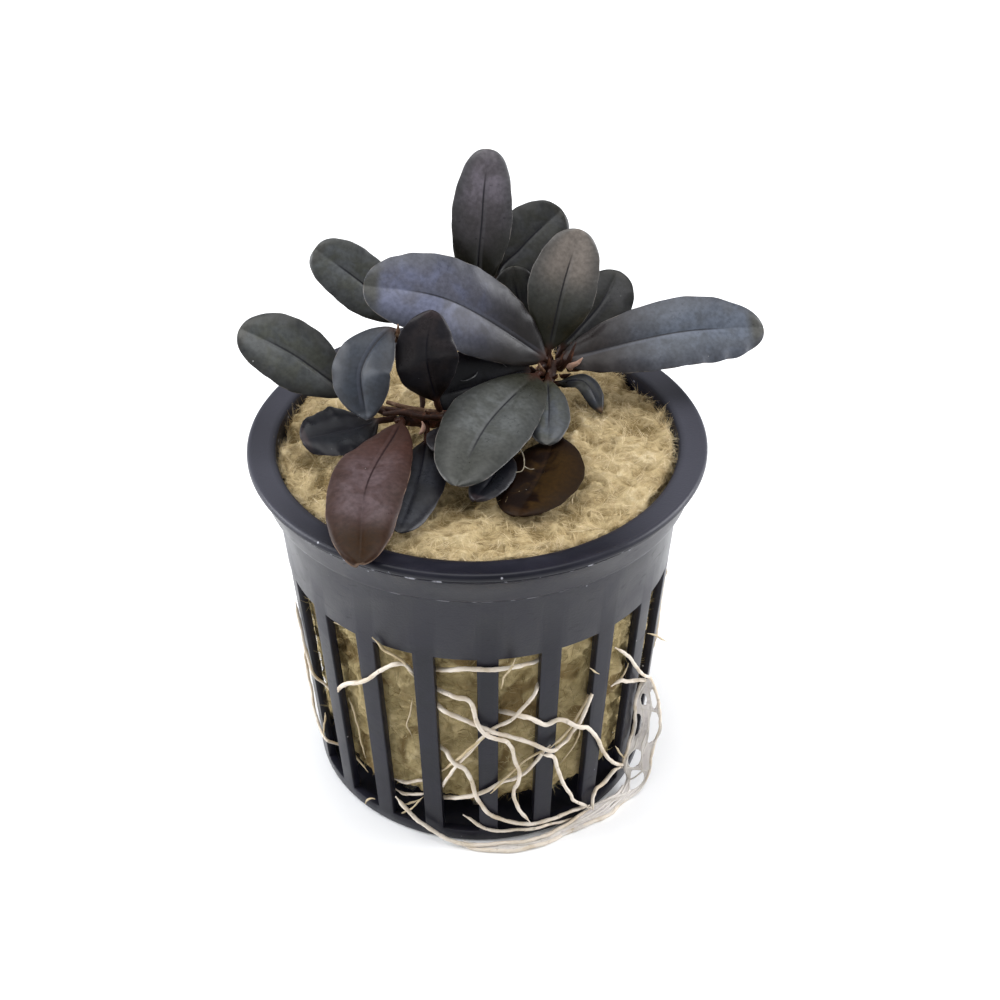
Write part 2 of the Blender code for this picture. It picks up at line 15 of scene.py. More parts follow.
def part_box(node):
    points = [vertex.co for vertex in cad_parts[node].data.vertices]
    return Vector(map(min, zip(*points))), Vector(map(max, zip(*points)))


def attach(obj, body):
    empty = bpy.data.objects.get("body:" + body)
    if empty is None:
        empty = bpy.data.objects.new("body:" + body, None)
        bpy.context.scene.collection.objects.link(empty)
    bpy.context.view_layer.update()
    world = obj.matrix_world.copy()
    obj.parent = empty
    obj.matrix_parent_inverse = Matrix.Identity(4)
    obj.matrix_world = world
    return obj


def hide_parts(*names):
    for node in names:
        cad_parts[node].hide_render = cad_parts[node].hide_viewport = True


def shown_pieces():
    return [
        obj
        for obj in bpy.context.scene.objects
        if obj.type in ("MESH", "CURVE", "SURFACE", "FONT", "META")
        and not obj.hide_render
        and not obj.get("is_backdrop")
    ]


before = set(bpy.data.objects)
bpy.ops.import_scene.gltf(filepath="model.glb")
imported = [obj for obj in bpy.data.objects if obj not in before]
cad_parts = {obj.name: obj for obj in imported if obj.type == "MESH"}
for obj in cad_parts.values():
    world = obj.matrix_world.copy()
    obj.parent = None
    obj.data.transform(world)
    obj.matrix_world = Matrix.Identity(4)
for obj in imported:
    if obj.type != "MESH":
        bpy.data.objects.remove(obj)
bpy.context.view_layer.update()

MM = 0.001
print("CAD nodes:", len(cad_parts))

# %% [markdown]
# The camera comes first, because it decides which details can be seen at all. The pot's rim,
# shoulder and foot are ellipses in the picture, and ellipses tell where the lens was: about
# 34 degrees above the table and 18 cm from the rim. The rim's centre isn't in the middle of
# the picture, so the camera is panned until it falls on its spot.

# %% Aim the camera
PICTURE = 1000.0
SENSOR = 36.0
FOCAL_PIXELS = 1499.0
CAMERA_ELEVATION = math.radians(33.64)
CAMERA_DISTANCE = 180.0 * MM
CAMERA_ROLL = math.radians(0.7)
RIM_CENTRE_ACROSS = 477.5
RIM_CENTRE_DOWN = 432.2


def aim_camera():
    rim_centre = Vector((0.0, 0.0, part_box("net_pot")[1].z))
    back = Vector((0.0, -math.cos(CAMERA_ELEVATION), math.sin(CAMERA_ELEVATION)))
    right = Vector((1.0, 0.0, 0.0))
    level = Matrix((right, right.cross(-back), back)).transposed()
    across = (RIM_CENTRE_ACROSS - PICTURE / 2) / FOCAL_PIXELS
    down = (RIM_CENTRE_DOWN - PICTURE / 2) / FOCAL_PIXELS
    seen = Vector((across, -down, -1.0)).normalized()
    pan = Vector((0.0, 0.0, -1.0)).rotation_difference(seen).to_matrix()
    roll = Matrix.Rotation(CAMERA_ROLL, 3, "Z")
    turned = (pan @ roll @ level.transposed()).transposed()
    data = bpy.data.cameras.new("camera")
    data.sensor_width = SENSOR
    data.lens = FOCAL_PIXELS / PICTURE * SENSOR
    data.clip_start = 0.005
    data.clip_end = 20.0
    camera = bpy.data.objects.new("camera", data)
    bpy.context.scene.collection.objects.link(camera)
    camera.matrix_world = Matrix.Translation(rim_centre + back * CAMERA_DISTANCE) @ turned.to_4x4()
    bpy.context.scene.camera = camera
    print("lens", round(data.lens, 2), "mm at", [round(c / MM, 1) for c in camera.location])


aim_camera()

# %% [markdown]
# A plain studio suits a dark plant: a pale floor, a pale room all round, and large soft lights.
# The pale room matters most, because satin leaves and black plastic show their shape only by
# what they mirror. Small hard lamps would turn each leaf into a few glaring dots.

# %% Build the studio
FLOOR_SIDE = 3.0
FLOOR_COLOUR = (0.95, 0.95, 0.95)
ROOM_COLOUR = (0.96, 0.98, 1.0, 1.0)
ROOM_GLOW = 0.5
LIT_POINT = Vector((0.0, 0.0, 0.04))
LIGHTS = (
    # name, place, size, watts and tint
    ("overhead", (-0.03, 0.04, 0.5), 0.5, 1.8, (1.0, 1.0, 1.0)),
    ("left window", (-0.5, 0.05, 0.26), 0.4, 3.4, (0.94, 0.96, 1.0)),
    ("right window", (0.5, 0.08, 0.26), 0.4, 3.2, (0.95, 0.96, 1.0)),
)


def plain_material(name, colour, roughness):
    material = bpy.data.materials.new(name)
    material.use_nodes = True
    shader = material.node_tree.nodes["Principled BSDF"]
    shader.inputs["Base Color"].default_value = (*colour, 1.0)
    shader.inputs["Roughness"].default_value = roughness
    return material


def lay_floor():
    bpy.ops.object.select_all(action="DESELECT")
    bpy.ops.mesh.primitive_plane_add(size=FLOOR_SIDE, location=(0.0, 0.0, 0.0))
    floor = bpy.context.object
    floor.name = "floor"
    floor.data.materials.append(plain_material("pale floor", FLOOR_COLOUR, 0.7))
    floor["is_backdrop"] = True


def hang_light(name, place, size, watts, tint):
    data = bpy.data.lights.new(name, "AREA")
    data.shape = "DISK"
    data.size = size
    data.energy = watts
    data.color = tint
    light = bpy.data.objects.new(name, data)
    bpy.context.scene.collection.objects.link(light)
    light.location = place
    light.rotation_euler = (Vector(place) - LIT_POINT).to_track_quat("Z", "Y").to_euler()


def build_studio():
    lay_floor()
    world = bpy.data.worlds.new("pale room")
    world.use_nodes = True
    background = world.node_tree.nodes["Background"]
    background.inputs["Color"].default_value = ROOM_COLOUR
    background.inputs["Strength"].default_value = ROOM_GLOW
    bpy.context.scene.world = world
    bpy.context.scene.view_settings.view_transform = "Standard"
    for light in LIGHTS:
        hang_light(*light)


build_studio()

# %% [markdown]
# Every piece below is made in the same few moves, so they are named once: deselect everything,
# work on one piece, pick faces by where they are, apply its modifiers, and hand it to the frame.
# Picking by place instead of by number keeps the script readable when a size changes.

# %% Helpers for modelling


def clear_selection():
    if bpy.context.mode != "OBJECT":
        bpy.ops.object.mode_set(mode="OBJECT")
    bpy.ops.object.select_all(action="DESELECT")


def work_on(piece):
    clear_selection()
    piece.select_set(True)
    bpy.context.view_layer.objects.active = piece


def pick_faces(piece, wanted):
    """In edit mode, selects the faces whose middle is wanted."""
    bpy.ops.mesh.select_mode(type="FACE")
    bpy.ops.mesh.select_all(action="DESELECT")
    bm = bmesh.from_edit_mesh(piece.data)
    for face in bm.faces:
        face.select_set(wanted(face.calc_center_median()))
    bm.select_flush_mode()
    bmesh.update_edit_mesh(piece.data)


def apply_modifiers(piece):
    work_on(piece)
    for modifier in list(piece.modifiers):
        bpy.ops.object.modifier_apply(modifier=modifier.name)


def triangles(piece):
    piece.data.calc_loop_triangles()
    return len(piece.data.loop_triangles)


def hand_over(piece, slot, material, *nodes, sharp_degrees=50.0):
    """Puts the piece's place into its mesh, finishes it, and hides the solids it stands for."""
    work_on(piece)
    bpy.ops.object.transform_apply(location=True, rotation=True, scale=True)
    bpy.ops.object.shade_smooth_by_angle(angle=math.radians(sharp_degrees))
    piece.data.materials.clear()
    piece.data.materials.append(material)
    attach(piece, "root")
    if nodes:
        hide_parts(*nodes)
    print(piece.name, triangles(piece), "triangles")
    return piece


# %% [markdown]
# Finishes are built from nodes. A few short helpers make them readable: each one adds a node,
# plugs in what it is given, which may be a number, a colour or another node's output, and
# returns its own output. An effect that several finishes share is a group, made once.

# %% Helpers for finishes


def plug(tree, value, socket):
    if isinstance(value, bpy.types.NodeSocket):
        tree.links.new(value, socket)
    elif isinstance(value, tuple) and len(value) == 3 and socket.type == "RGBA":
        socket.default_value = (*value, 1.0)
    else:
        socket.default_value = value


def maths(tree, operation, first, second=0.0, clamp=False):
    made = tree.nodes.new("ShaderNodeMath")
    made.operation = operation
    made.use_clamp = clamp
    plug(tree, first, made.inputs[0])
    plug(tree, second, made.inputs[1])
    return made.outputs[0]


def times(tree, first, second):
    return maths(tree, "MULTIPLY", first, second)


def plus(tree, first, second):
    return maths(tree, "ADD", first, second)


def minus(tree, first, second):
    return maths(tree, "SUBTRACT", first, second)


def blend_colours(tree, share, first, second, kind="MIX"):
    made = tree.nodes.new("ShaderNodeMix")
    made.data_type = "RGBA"
    made.blend_type = kind
    made.clamp_factor = True
    plug(tree, share, made.inputs[0])
    plug(tree, first, made.inputs[6])
    plug(tree, second, made.inputs[7])
    return made.outputs[2]


def fade(tree, value, start, end, low=0.0, high=1.0):
    """Goes smoothly from low to high while value goes from start to end."""
    made = tree.nodes.new("ShaderNodeMapRange")
    made.interpolation_type = "SMOOTHSTEP"
    for socket, given in zip(made.inputs[:5], (value, start, end, low, high)):
        plug(tree, given, socket)
    return made.outputs[0]


def object_place(tree, stretch=(1.0, 1.0, 1.0)):
    place = tree.nodes.new("ShaderNodeTexCoord").outputs["Object"]
    mapping = tree.nodes.new("ShaderNodeMapping")
    mapping.inputs["Scale"].default_value = stretch
    tree.links.new(place, mapping.inputs["Vector"])
    return mapping.outputs["Vector"]


def sides_of(tree, place):
    """The x, y and z of a place."""
    made = tree.nodes.new("ShaderNodeSeparateXYZ")
    tree.links.new(place, made.inputs[0])
    return made.outputs


def place_from(tree, *sides):
    """A place for a pattern, from its own x, y and, if given, z."""
    made = tree.nodes.new("ShaderNodeCombineXYZ")
    for side, socket in zip(sides, made.inputs):
        plug(tree, side, socket)
    return made.outputs[0]


UNSCALED = 1000.0        # the patch size, in mm, at which a pattern keeps the units of its place


def cloudy(tree, place, size_mm, detail=3.0, twist=0.0):
    """Soft noise whose patches are about size_mm across, from 0 to 1."""
    made = tree.nodes.new("ShaderNodeTexNoise")
    made.inputs["Scale"].default_value = 1.0 / (size_mm * MM)
    made.inputs["Detail"].default_value = detail
    made.inputs["Distortion"].default_value = twist
    tree.links.new(place, made.inputs["Vector"])
    return made.outputs["Fac"]


def specks(tree, place, apart_mm, size_share, how_many):
    """A mask of small round specks, of which only a share, how_many, show."""
    made = tree.nodes.new("ShaderNodeTexVoronoi")
    made.inputs["Scale"].default_value = 1.0 / (apart_mm * MM)
    tree.links.new(place, made.inputs["Vector"])
    split = tree.nodes.new("ShaderNodeSeparateColor")
    tree.links.new(made.outputs["Color"], split.inputs[0])
    near = fade(tree, made.outputs["Distance"], size_share, 0.4 * size_share)
    chosen = fade(tree, split.outputs[0], 1.0 - how_many, 1.001 - how_many)
    return times(tree, near, chosen)


def stored(tree, name):
    """A value that the mesh carries at each of its points."""
    made = tree.nodes.new("ShaderNodeAttribute")
    made.attribute_name = name
    return made.outputs["Fac"]


def new_group(name, inputs, outputs):
    """An empty node group with named sockets; returns it and its inner ends."""
    group = bpy.data.node_groups.new(name, "ShaderNodeTree")
    for socket, kind, value in inputs:
        made = group.interface.new_socket(socket, in_out="INPUT", socket_type=kind)
        made.default_value = value
    for socket, kind in outputs:
        group.interface.new_socket(socket, in_out="OUTPUT", socket_type=kind)
    return group, group.nodes.new("NodeGroupInput").outputs, group.nodes.new("NodeGroupOutput").inputs


def skin_material(name, group, values, bump_mm, shine=0.5):
    """A material whose colour, roughness and height come from a group with its own values."""
    material = bpy.data.materials.new(name)
    material.use_nodes = True
    tree = material.node_tree
    shader = tree.nodes["Principled BSDF"]
    made = tree.nodes.new("ShaderNodeGroup")
    made.node_tree = group
    for socket, value in values.items():
        plug(tree, value, made.inputs[socket])
    bump = tree.nodes.new("ShaderNodeBump")
    bump.inputs["Distance"].default_value = bump_mm * MM
    bump.inputs["Strength"].default_value = 1.0
    tree.links.new(made.outputs["Height"], bump.inputs["Height"])
    tree.links.new(bump.outputs["Normal"], shader.inputs["Normal"])
    tree.links.new(made.outputs["Colour"], shader.inputs["Base Color"])
    tree.links.new(made.outputs["Roughness"], shader.inputs["Roughness"])
    shader.inputs["Specular IOR Level"].default_value = shine
    return material


SKIN_OUTPUTS = (("Colour", "NodeSocketColor"), ("Roughness", "NodeSocketFloat"),
                ("Height", "NodeSocketFloat"))
COLOUR = "NodeSocketColor"
NUMBER = "NodeSocketFloat"

# %% [markdown]
# The pot is injection moulded in black plastic. It could be spun from a drawn section, but it
# is shown here as one would do it by hand: a disc for the foot is extruded upwards and resized
# ring by ring, over the rim, down the inside and onto the floor. The slots are then opened by
# bridging each patch of the outer wall to the patch behind it.

# %% Mould the pot
POT_SEGMENTS = 240
SLOT_COUNT = 20
RIB_SHARE = 1.0 / 3.0
FIRST_RIB_DEGREES = 2.0
SLOT_FOOT = 2.0
SLOT_TOP = 32.7
POT_RINGS = (
    (21.4, 0.0), (21.75, 0.12), (21.95, 0.5), (22.03, SLOT_FOOT), (23.98, SLOT_TOP),
    (24.6, 42.2), (24.75, 42.4), (25.45, 42.5), (25.75, 42.75), (25.9, 43.15),
    (26.75, 46.05), (27.0, 46.35), (27.12, 46.5), (27.1, 46.62), (26.95, 46.75),
    (27.1, 46.85), (27.42, 46.92), (27.5, 47.1), (27.48, 47.4), (27.3, 47.66),
    (27.1, 47.74), (26.9, 47.7), (26.7, 47.6), (25.0, 47.45), (24.4, 47.35),
    (24.1, 47.15), (24.0, 46.8), (23.5, 42.4), (22.88, SLOT_TOP), (20.93, SLOT_FOOT),
    (20.88, 1.6), (20.6, 1.4),
)
INSIDE_THE_WALL = 19.0
DRAIN_COUNT = 10
DRAIN_MIDDLE = 12.5
DRAIN_BAR = (9.0, 2.4, 6.0)
SOFT_EDGE = 0.12


def azimuth_of(place):
    """Degrees round the pot from the front, growing towards the right."""
    return math.degrees(math.atan2(place.x, -place.y)) % 360.0


def raise_pot():
    radius, height = POT_RINGS[0]
    clear_selection()
    bpy.ops.mesh.primitive_circle_add(vertices=POT_SEGMENTS, radius=radius * MM, fill_type="NGON",
                                      location=(0.0, 0.0, height * MM))
    pot = bpy.context.object
    pot.name = "moulded_pot"
    turn = math.radians(FIRST_RIB_DEGREES)
    bpy.ops.object.mode_set(mode="EDIT")
    bpy.ops.mesh.select_all(action="SELECT")
    bpy.ops.transform.rotate(value=-turn, orient_axis="Z", center_override=(0.0, 0.0, 0.0))
    for next_radius, next_height in POT_RINGS[1:]:
        step = (0.0, 0.0, (next_height - height) * MM)
        bpy.ops.mesh.extrude_region_move(TRANSFORM_OT_translate={"value": step})
        grow = next_radius / radius
        bpy.ops.transform.resize(value=(grow, grow, 1.0), center_override=(0.0, 0.0, next_height * MM))
        radius, height = next_radius, next_height
    bpy.ops.mesh.select_all(action="SELECT")
    bpy.ops.mesh.normals_make_consistent(inside=False)
    return pot


def open_slots(pot):
    pitch = 360.0 / SLOT_COUNT
    rib_half = 0.5 * RIB_SHARE * pitch
    for slot in range(SLOT_COUNT):
        start = FIRST_RIB_DEGREES + slot * pitch + rib_half
        width = pitch - 2 * rib_half

        def in_slot(middle, start=start, width=width):
            if not SLOT_FOOT < middle.z / MM < SLOT_TOP or middle.xy.length < INSIDE_THE_WALL * MM:
                return False
            return (azimuth_of(middle) - start) % 360.0 < width

        pick_faces(pot, in_slot)
        bpy.ops.mesh.bridge_edge_loops()
    bpy.ops.object.mode_set(mode="OBJECT")


def cut_drains(pot):
    clear_selection()
    bars = []
    for number in range(DRAIN_COUNT):
        turn = math.tau * (number + 0.5) / DRAIN_COUNT
        place = Vector((math.cos(turn), math.sin(turn), 0.0)) * DRAIN_MIDDLE * MM
        bpy.ops.mesh.primitive_cube_add(size=1.0, location=place, rotation=(0.0, 0.0, turn),
                                        scale=[side * MM for side in DRAIN_BAR])
        bars.append(bpy.context.object)
    for bar in bars:
        bar.select_set(True)
    bpy.ops.object.join()
    cutter = bpy.context.object
    drains = pot.modifiers.new("drains", "BOOLEAN")
    drains.operation = "DIFFERENCE"
    drains.object = cutter
    edges = pot.modifiers.new("soft edges", "BEVEL")
    edges.width = SOFT_EDGE * MM
    edges.segments = 2
    edges.limit_method = "ANGLE"
    edges.angle_limit = math.radians(55.0)
    apply_modifiers(pot)
    bpy.data.objects.remove(cutter)


pot = raise_pot()
open_slots(pot)
cut_drains(pot)
print("pot", triangles(pot), "triangles")

# %% [markdown]
# The plastic is slate black with a satin skin. Its colour hardly changes, so what sells it is
# the gloss: blotches of slightly different roughness, shallow moulding waves, white scuffs on
# the sharp rings of the rim, and a scatter of dust. A painted reflection, a slightly paler tone,
# lifts the left and right of the rim's top. All of it follows the object's own space.

# %% Finish the pot
SCUFFED_RINGS = (46.52, 42.65)
# Where the painted reflection lies on the rim's top: how far aside, and between which heights.
SHEEN_ASIDE = (12.0, 24.0)
SHEEN_HEIGHTS = (47.2, 47.45)


def plastic_group():
    group, given, out = new_group("Moulded plastic", (
        ("Plastic", COLOUR, (0.008, 0.008, 0.013, 1.0)), ("Scuff", COLOUR, (0.4, 0.4, 0.44, 1.0)),
        ("Painted sheen", COLOUR, (0.04, 0.04, 0.052, 1.0)), ("Roughness", NUMBER, 0.33),
        ("Scuffing", NUMBER, 1.0)), SKIN_OUTPUTS)
    place = object_place(group)
    blotches = cloudy(group, place, 6.0, 4.0, 0.6)
    grain = cloudy(group, place, 0.25, 2.0)
    streaks = cloudy(group, object_place(group, (1.0, 1.0, 3.5)), 3.0, 5.0, 1.4)
    dirt = fade(group, streaks, 0.6, 0.74)
    dust = specks(group, place, 2.4, 0.07, 0.3)
    x, _, z = sides_of(group, place)
    scuffs = None
    for ring_height in SCUFFED_RINGS:
        off = maths(group, "ABSOLUTE", minus(group, z, ring_height * MM))
        band = fade(group, off, 0.22 * MM, 0.06 * MM)
        broken = times(group, band, fade(group, cloudy(group, place, 1.6, 4.0), 0.56, 0.64))
        scuffs = broken if scuffs is None else maths(group, "MAXIMUM", scuffs, broken)
    marks = maths(group, "MULTIPLY", maths(group, "MAXIMUM", scuffs, dust), given["Scuffing"], True)
    tone = blend_colours(group, fade(group, blotches, 0.35, 0.7, 0.0, 0.35), given["Plastic"],
                         (0.02, 0.019, 0.031))
    tone = blend_colours(group, times(group, dirt, 0.35), tone, (0.004, 0.004, 0.007))
    # Painted reflection: a paler tone on the left and right of the rim's top.
    aside = fade(group, maths(group, "ABSOLUTE", x), *[side * MM for side in SHEEN_ASIDE])
    painted_sheen = times(group, fade(group, z, *[side * MM for side in SHEEN_HEIGHTS]), aside)
    tone = blend_colours(group, painted_sheen, tone, given["Painted sheen"])
    plug(group, blend_colours(group, marks, tone, given["Scuff"]), out["Colour"])
    rough = plus(group, given["Roughness"], fade(group, blotches, 0.3, 0.75, -0.05, 0.09))
    rough = plus(group, rough, times(group, dirt, 0.1))
    plug(group, plus(group, rough, times(group, marks, 0.3)), out["Roughness"])
    height = plus(group, times(group, grain, 0.25), blotches)
    plug(group, height, out["Height"])
    return group


PLASTIC = plastic_group()
black_plastic = skin_material("black plastic", PLASTIC, {}, 0.05, shine=0.21)
hand_over(pot, "black_plastic", black_plastic, "net_pot", sharp_degrees=38.0)

# %% [markdown]
# Rock wool is spun stone, felted into a block. Its look is lumps, pits and swirls, which need
# real relief. A cylinder is remeshed into small even squares, since displacement can only
# push the points that a mesh has, and then pushed by three procedural patterns from coarse
# to fine. A texture on a smooth block would look printed as soon as the light is low.

# %% Felt the rock wool
WOOL_FOOT = 6.0
WOOL_TOP = 46.9
WOOL_TOP_RADIUS = 23.8
WOOL_FOOT_RADIUS = 20.7
WOOL_SQUARES = 0.36
WOOL_EDGE = 0.9
CLOSE_BY = 0.1
WOOL_PATTERNS = (("clumps", "CLOUDS", 4.6, 1.3), ("curls", "DISTORTED_NOISE", 1.9, 0.45),
                 ("tufts", "CLOUDS", 0.9, 0.3))


def felt_block():
    clear_selection()
    middle = 0.5 * (WOOL_FOOT + WOOL_TOP)
    bpy.ops.mesh.primitive_cylinder_add(vertices=96, radius=WOOL_TOP_RADIUS * MM,
                                        depth=(WOOL_TOP - WOOL_FOOT) * MM, location=(0.0, 0.0, middle * MM))
    block = bpy.context.object
    block.name = "wool_block"
    bpy.ops.object.transform_apply(location=True, rotation=True, scale=True)
    bpy.ops.object.mode_set(mode="EDIT")
    pick_faces(block, lambda place: place.z < (WOOL_FOOT + CLOSE_BY) * MM)
    narrow = WOOL_FOOT_RADIUS / WOOL_TOP_RADIUS
    bpy.ops.transform.resize(value=(narrow, narrow, 1.0), center_override=(0.0, 0.0, WOOL_FOOT * MM))
    pick_faces(block, lambda place: place.z > (WOOL_TOP - CLOSE_BY) * MM)
    bpy.ops.mesh.bevel(offset=WOOL_EDGE * MM, segments=4)
    bpy.ops.object.mode_set(mode="OBJECT")
    squares = block.modifiers.new("even squares", "REMESH")
    squares.mode = "VOXEL"
    squares.voxel_size = WOOL_SQUARES * MM
    for name, kind, size, push in WOOL_PATTERNS:
        pattern = bpy.data.textures.new(name, kind)
        pattern.noise_scale = size * MM
        push_out = block.modifiers.new(name, "DISPLACE")
        push_out.texture = pattern
        push_out.texture_coords = "LOCAL"
        push_out.strength = push * MM
        push_out.mid_level = 0.55
    apply_modifiers(block)
    return block


wool = felt_block()
print("wool block", triangles(wool), "triangles")

# %% [markdown]
# The block isn't the same all over: fingers and tools have left pits and a few raised tufts on
# its top, and a gap shows at the rim. They are pressed in at their places, each with a soft
# bell shape, after the patterns, so that the patterns still run through them.

# %% Press in the pits and tufts
WOOL_DENTS = (
    # across, back, radius and depth; a depth below nought raises a tuft
    (11.3, 2.8, 1.2, 1.1), (13.5, -0.5, 0.9, 0.9), (19.7, 1.6, 1.0, 0.8), (15.2, 6.1, 1.0, 0.9),
    (-22.9, 1.6, 1.6, 1.5), (20.0, 12.6, 1.5, 1.3), (16.9, -12.2, 2.4, -0.35), (16.5, -5.5, 2.0, -0.3),
    (20.5, -4.7, 2.2, -0.3), (-0.9, -12.4, 1.6, 0.7), (6.5, -19.0, 1.2, 0.6), (12.0, -9.5, 1.0, 0.6),
    (-17.6, -9.0, 1.2, 0.7), (-20.0, -4.0, 1.0, 0.5), (21.5, 6.5, 1.3, 0.6), (9.5, 17.0, 1.6, 0.7),
)
DENTS_ABOVE = 43.0
DENTS_FULL_AFTER = 2.5


def store(piece, name, values):
    mesh = piece.data
    kept = mesh.attributes.get(name) or mesh.attributes.new(name, "FLOAT", "POINT")
    kept.data.foreach_set("value", np.asarray(values, np.float32))


def points_of(piece):
    flat = np.empty(3 * len(piece.data.vertices), np.float32)
    piece.data.vertices.foreach_get("co", flat)
    return flat.reshape(-1, 3).astype(float)


def move_points(piece, places):
    piece.data.vertices.foreach_set("co", places.astype(np.float32).ravel())
    piece.data.update()


def press_dents(block):
    places = points_of(block)
    near_top = np.clip((places[:, 2] / MM - DENTS_ABOVE) / DENTS_FULL_AFTER, 0.0, 1.0)
    for across, back, radius, depth in WOOL_DENTS:
        apart = np.hypot(places[:, 0] / MM - across, places[:, 1] / MM - back)
        places[:, 2] -= depth * np.exp(-(apart / radius) ** 2) * near_top * MM
    move_points(block, places)


press_dents(wool)
print("dents and tufts:", len(WOOL_DENTS))

# %% [markdown]
# Pits in the felt get painted shade, dark and brownish, and crests get painted light, pale.
# The mesh itself knows which is which: how far each point sits from the smooth block is stored
# on it as a value, and the finish reads that value. This way the painted light and shade always
# agree with the relief.

# %% Store how deep each point of the wool lies


def wool_side_radius(height):
    share = (height - WOOL_FOOT) / (WOOL_TOP - WOOL_FOOT)
    return WOOL_FOOT_RADIUS + (WOOL_TOP_RADIUS - WOOL_FOOT_RADIUS) * share


def relief_of(places):
    """How far a point stands out of the smooth block, in mm, on its top or its side."""
    height = places[:, 2] / MM
    out_of_side = np.hypot(places[:, 0], places[:, 1]) / MM - wool_side_radius(height)
    out_of_top = height - WOOL_TOP
    return np.maximum(out_of_side, out_of_top)


wool_relief = relief_of(points_of(wool))
store(wool, "relief", wool_relief)
print("relief from", round(wool_relief.min(), 2), "to", round(wool_relief.max(), 2), "mm")


def felt_group():
    group, given, out = new_group("Felted wool", (
        ("Lit crest", COLOUR, (0.7, 0.58, 0.36, 1.0)), ("Body", COLOUR, (0.58, 0.455, 0.25, 1.0)),
        ("Shaded pit", COLOUR, (0.27, 0.195, 0.085, 1.0)), ("Damp", COLOUR, (0.52, 0.42, 0.2, 1.0)),
        ("Stain", COLOUR, (0.17, 0.105, 0.035, 1.0)), ("Low", NUMBER, -0.95), ("High", NUMBER, 0.4)),
        SKIN_OUTPUTS)
    place = object_place(group)
    swirl = cloudy(group, place, 2.6, 5.0, 2.5)
    strands = cloudy(group, place, 0.35, 4.0, 3.0)
    patches = cloudy(group, place, 7.0, 3.0, 0.8)
    depth = plus(group, stored(group, "relief"), fade(group, swirl, 0.3, 0.7, -0.25, 0.25))
    depth = plus(group, depth, fade(group, strands, 0.3, 0.7, -0.16, 0.16))
    # Painted shade in the pits and painted light on the crests, from the stored relief and two noises.
    low = fade(group, depth, given["Low"], 0.0)
    high = fade(group, depth, 0.0, given["High"])
    tone = blend_colours(group, high, blend_colours(group, low, given["Shaded pit"], given["Body"]), given["Lit crest"])
    under_rim = fade(group, sides_of(group, place)[2], 44.5 * MM, 40.0 * MM, 0.0, 0.6)
    damp = times(group, under_rim, fade(group, patches, 0.3, 0.65, 0.6, 1.0))
    tone = blend_colours(group, damp, tone, given["Damp"])
    below = fade(group, under_rim, 0.0, 0.6, 0.0, 0.8)
    stains = times(group, fade(group, patches, 0.5, 0.62), below)
    tone = blend_colours(group, stains, tone, given["Stain"])
    plug(group, tone, out["Colour"])
    plug(group, fade(group, swirl, 0.0, 1.0, 0.85, 1.0), out["Roughness"])
    plug(group, plus(group, strands, times(group, swirl, 1.5)), out["Height"])
    return group


FELT = felt_group()
stone_wool = skin_material("stone wool", FELT, {}, 0.3, shine=0.2)
hand_over(wool, "stone_wool", stone_wool, "rock_wool", sharp_degrees=80.0)

# %% [markdown]
# Felt is only convincing with loose ends. One fibre is a thin three sided cone, cut once so
# that it can bend. It is then copied thousands of times with its own length, lean and tone,
# and the copies are kept as one mesh, because instances and hair would be lost when the part
# is exported. Their direction follows slow swirls, as spun fibre does.

# %% Model one fibre and scatter it


def model_fibre():
    clear_selection()
    bpy.ops.mesh.primitive_cone_add(vertices=3, radius1=1.0, radius2=0.0, depth=1.0,
                                    end_fill_type="NGON", location=(0.0, 0.0, 0.5))
    fibre = bpy.context.object
    bpy.ops.object.transform_apply(location=True, rotation=True, scale=True)
    bpy.ops.object.mode_set(mode="EDIT")
    bpy.ops.mesh.select_all(action="SELECT")
    bpy.ops.mesh.bisect(plane_co=(0.0, 0.0, 0.5), plane_no=(0.0, 0.0, 1.0))
    bpy.ops.mesh.select_all(action="SELECT")
    bpy.ops.mesh.quads_convert_to_tris()
    bpy.ops.object.mode_set(mode="OBJECT")
    corners = points_of(fibre)
    faces = np.array([tuple(face.vertices) for face in fibre.data.polygons])
    bpy.data.objects.remove(fibre)
    return corners, faces


FIBRE_POINTS, FIBRE_FACES = model_fibre()
print("one fibre:", len(FIBRE_FACES), "triangles")


def unit(vectors):
    return vectors / np.maximum(np.linalg.norm(vectors, axis=-1, keepdims=True), 1e-9)


def scatter_fibres(name, roots, leans, sideways, lengths, radii, bends, tones_and_shade):
    """Copies the fibre to each root; it leans along leans and bends towards sideways."""
    along = unit(leans)
    aside = unit(np.cross(along, sideways))
    over = np.cross(along, aside)
    t = FIBRE_POINTS[:, 2][None, :, None]
    spine = roots[:, None] + along[:, None] * t * lengths[:, None, None]
    spine = spine + unit(sideways)[:, None] * (t * t) * (bends * lengths)[:, None, None]
    ring = (aside[:, None] * FIBRE_POINTS[:, 0][None, :, None]
            + over[:, None] * FIBRE_POINTS[:, 1][None, :, None])
    thick = radii[:, None, None] * (0.55 + 0.45 * np.sin(math.pi * t))
    places = (spine + ring * thick).reshape(-1, 3)
    count = len(roots)
    offsets = (np.arange(count) * len(FIBRE_POINTS))[:, None, None]
    faces = (FIBRE_FACES[None] + offsets).reshape(-1, 3)
    mesh = bpy.data.meshes.new(name)
    mesh.from_pydata(places.tolist(), [], faces.tolist())
    piece = bpy.data.objects.new(name, mesh)
    bpy.context.scene.collection.objects.link(piece)
    store(piece, "tone", np.repeat(tones_and_shade, len(FIBRE_POINTS)))
    return piece


def slow_noise(places, scale_mm):
    return np.array([noise.noise(Vector(place / MM / scale_mm)) for place in places])


def swirl_directions(places, normals, scale_mm):
    """Directions along the surface that turn slowly from place to place."""
    turns = slow_noise(places, scale_mm) * 2.2 * math.pi
    first = unit(np.cross(normals, np.array([0.31, 0.93, 0.2])))
    second = np.cross(normals, first)
    return first * np.cos(turns)[:, None] + second * np.sin(turns)[:, None]


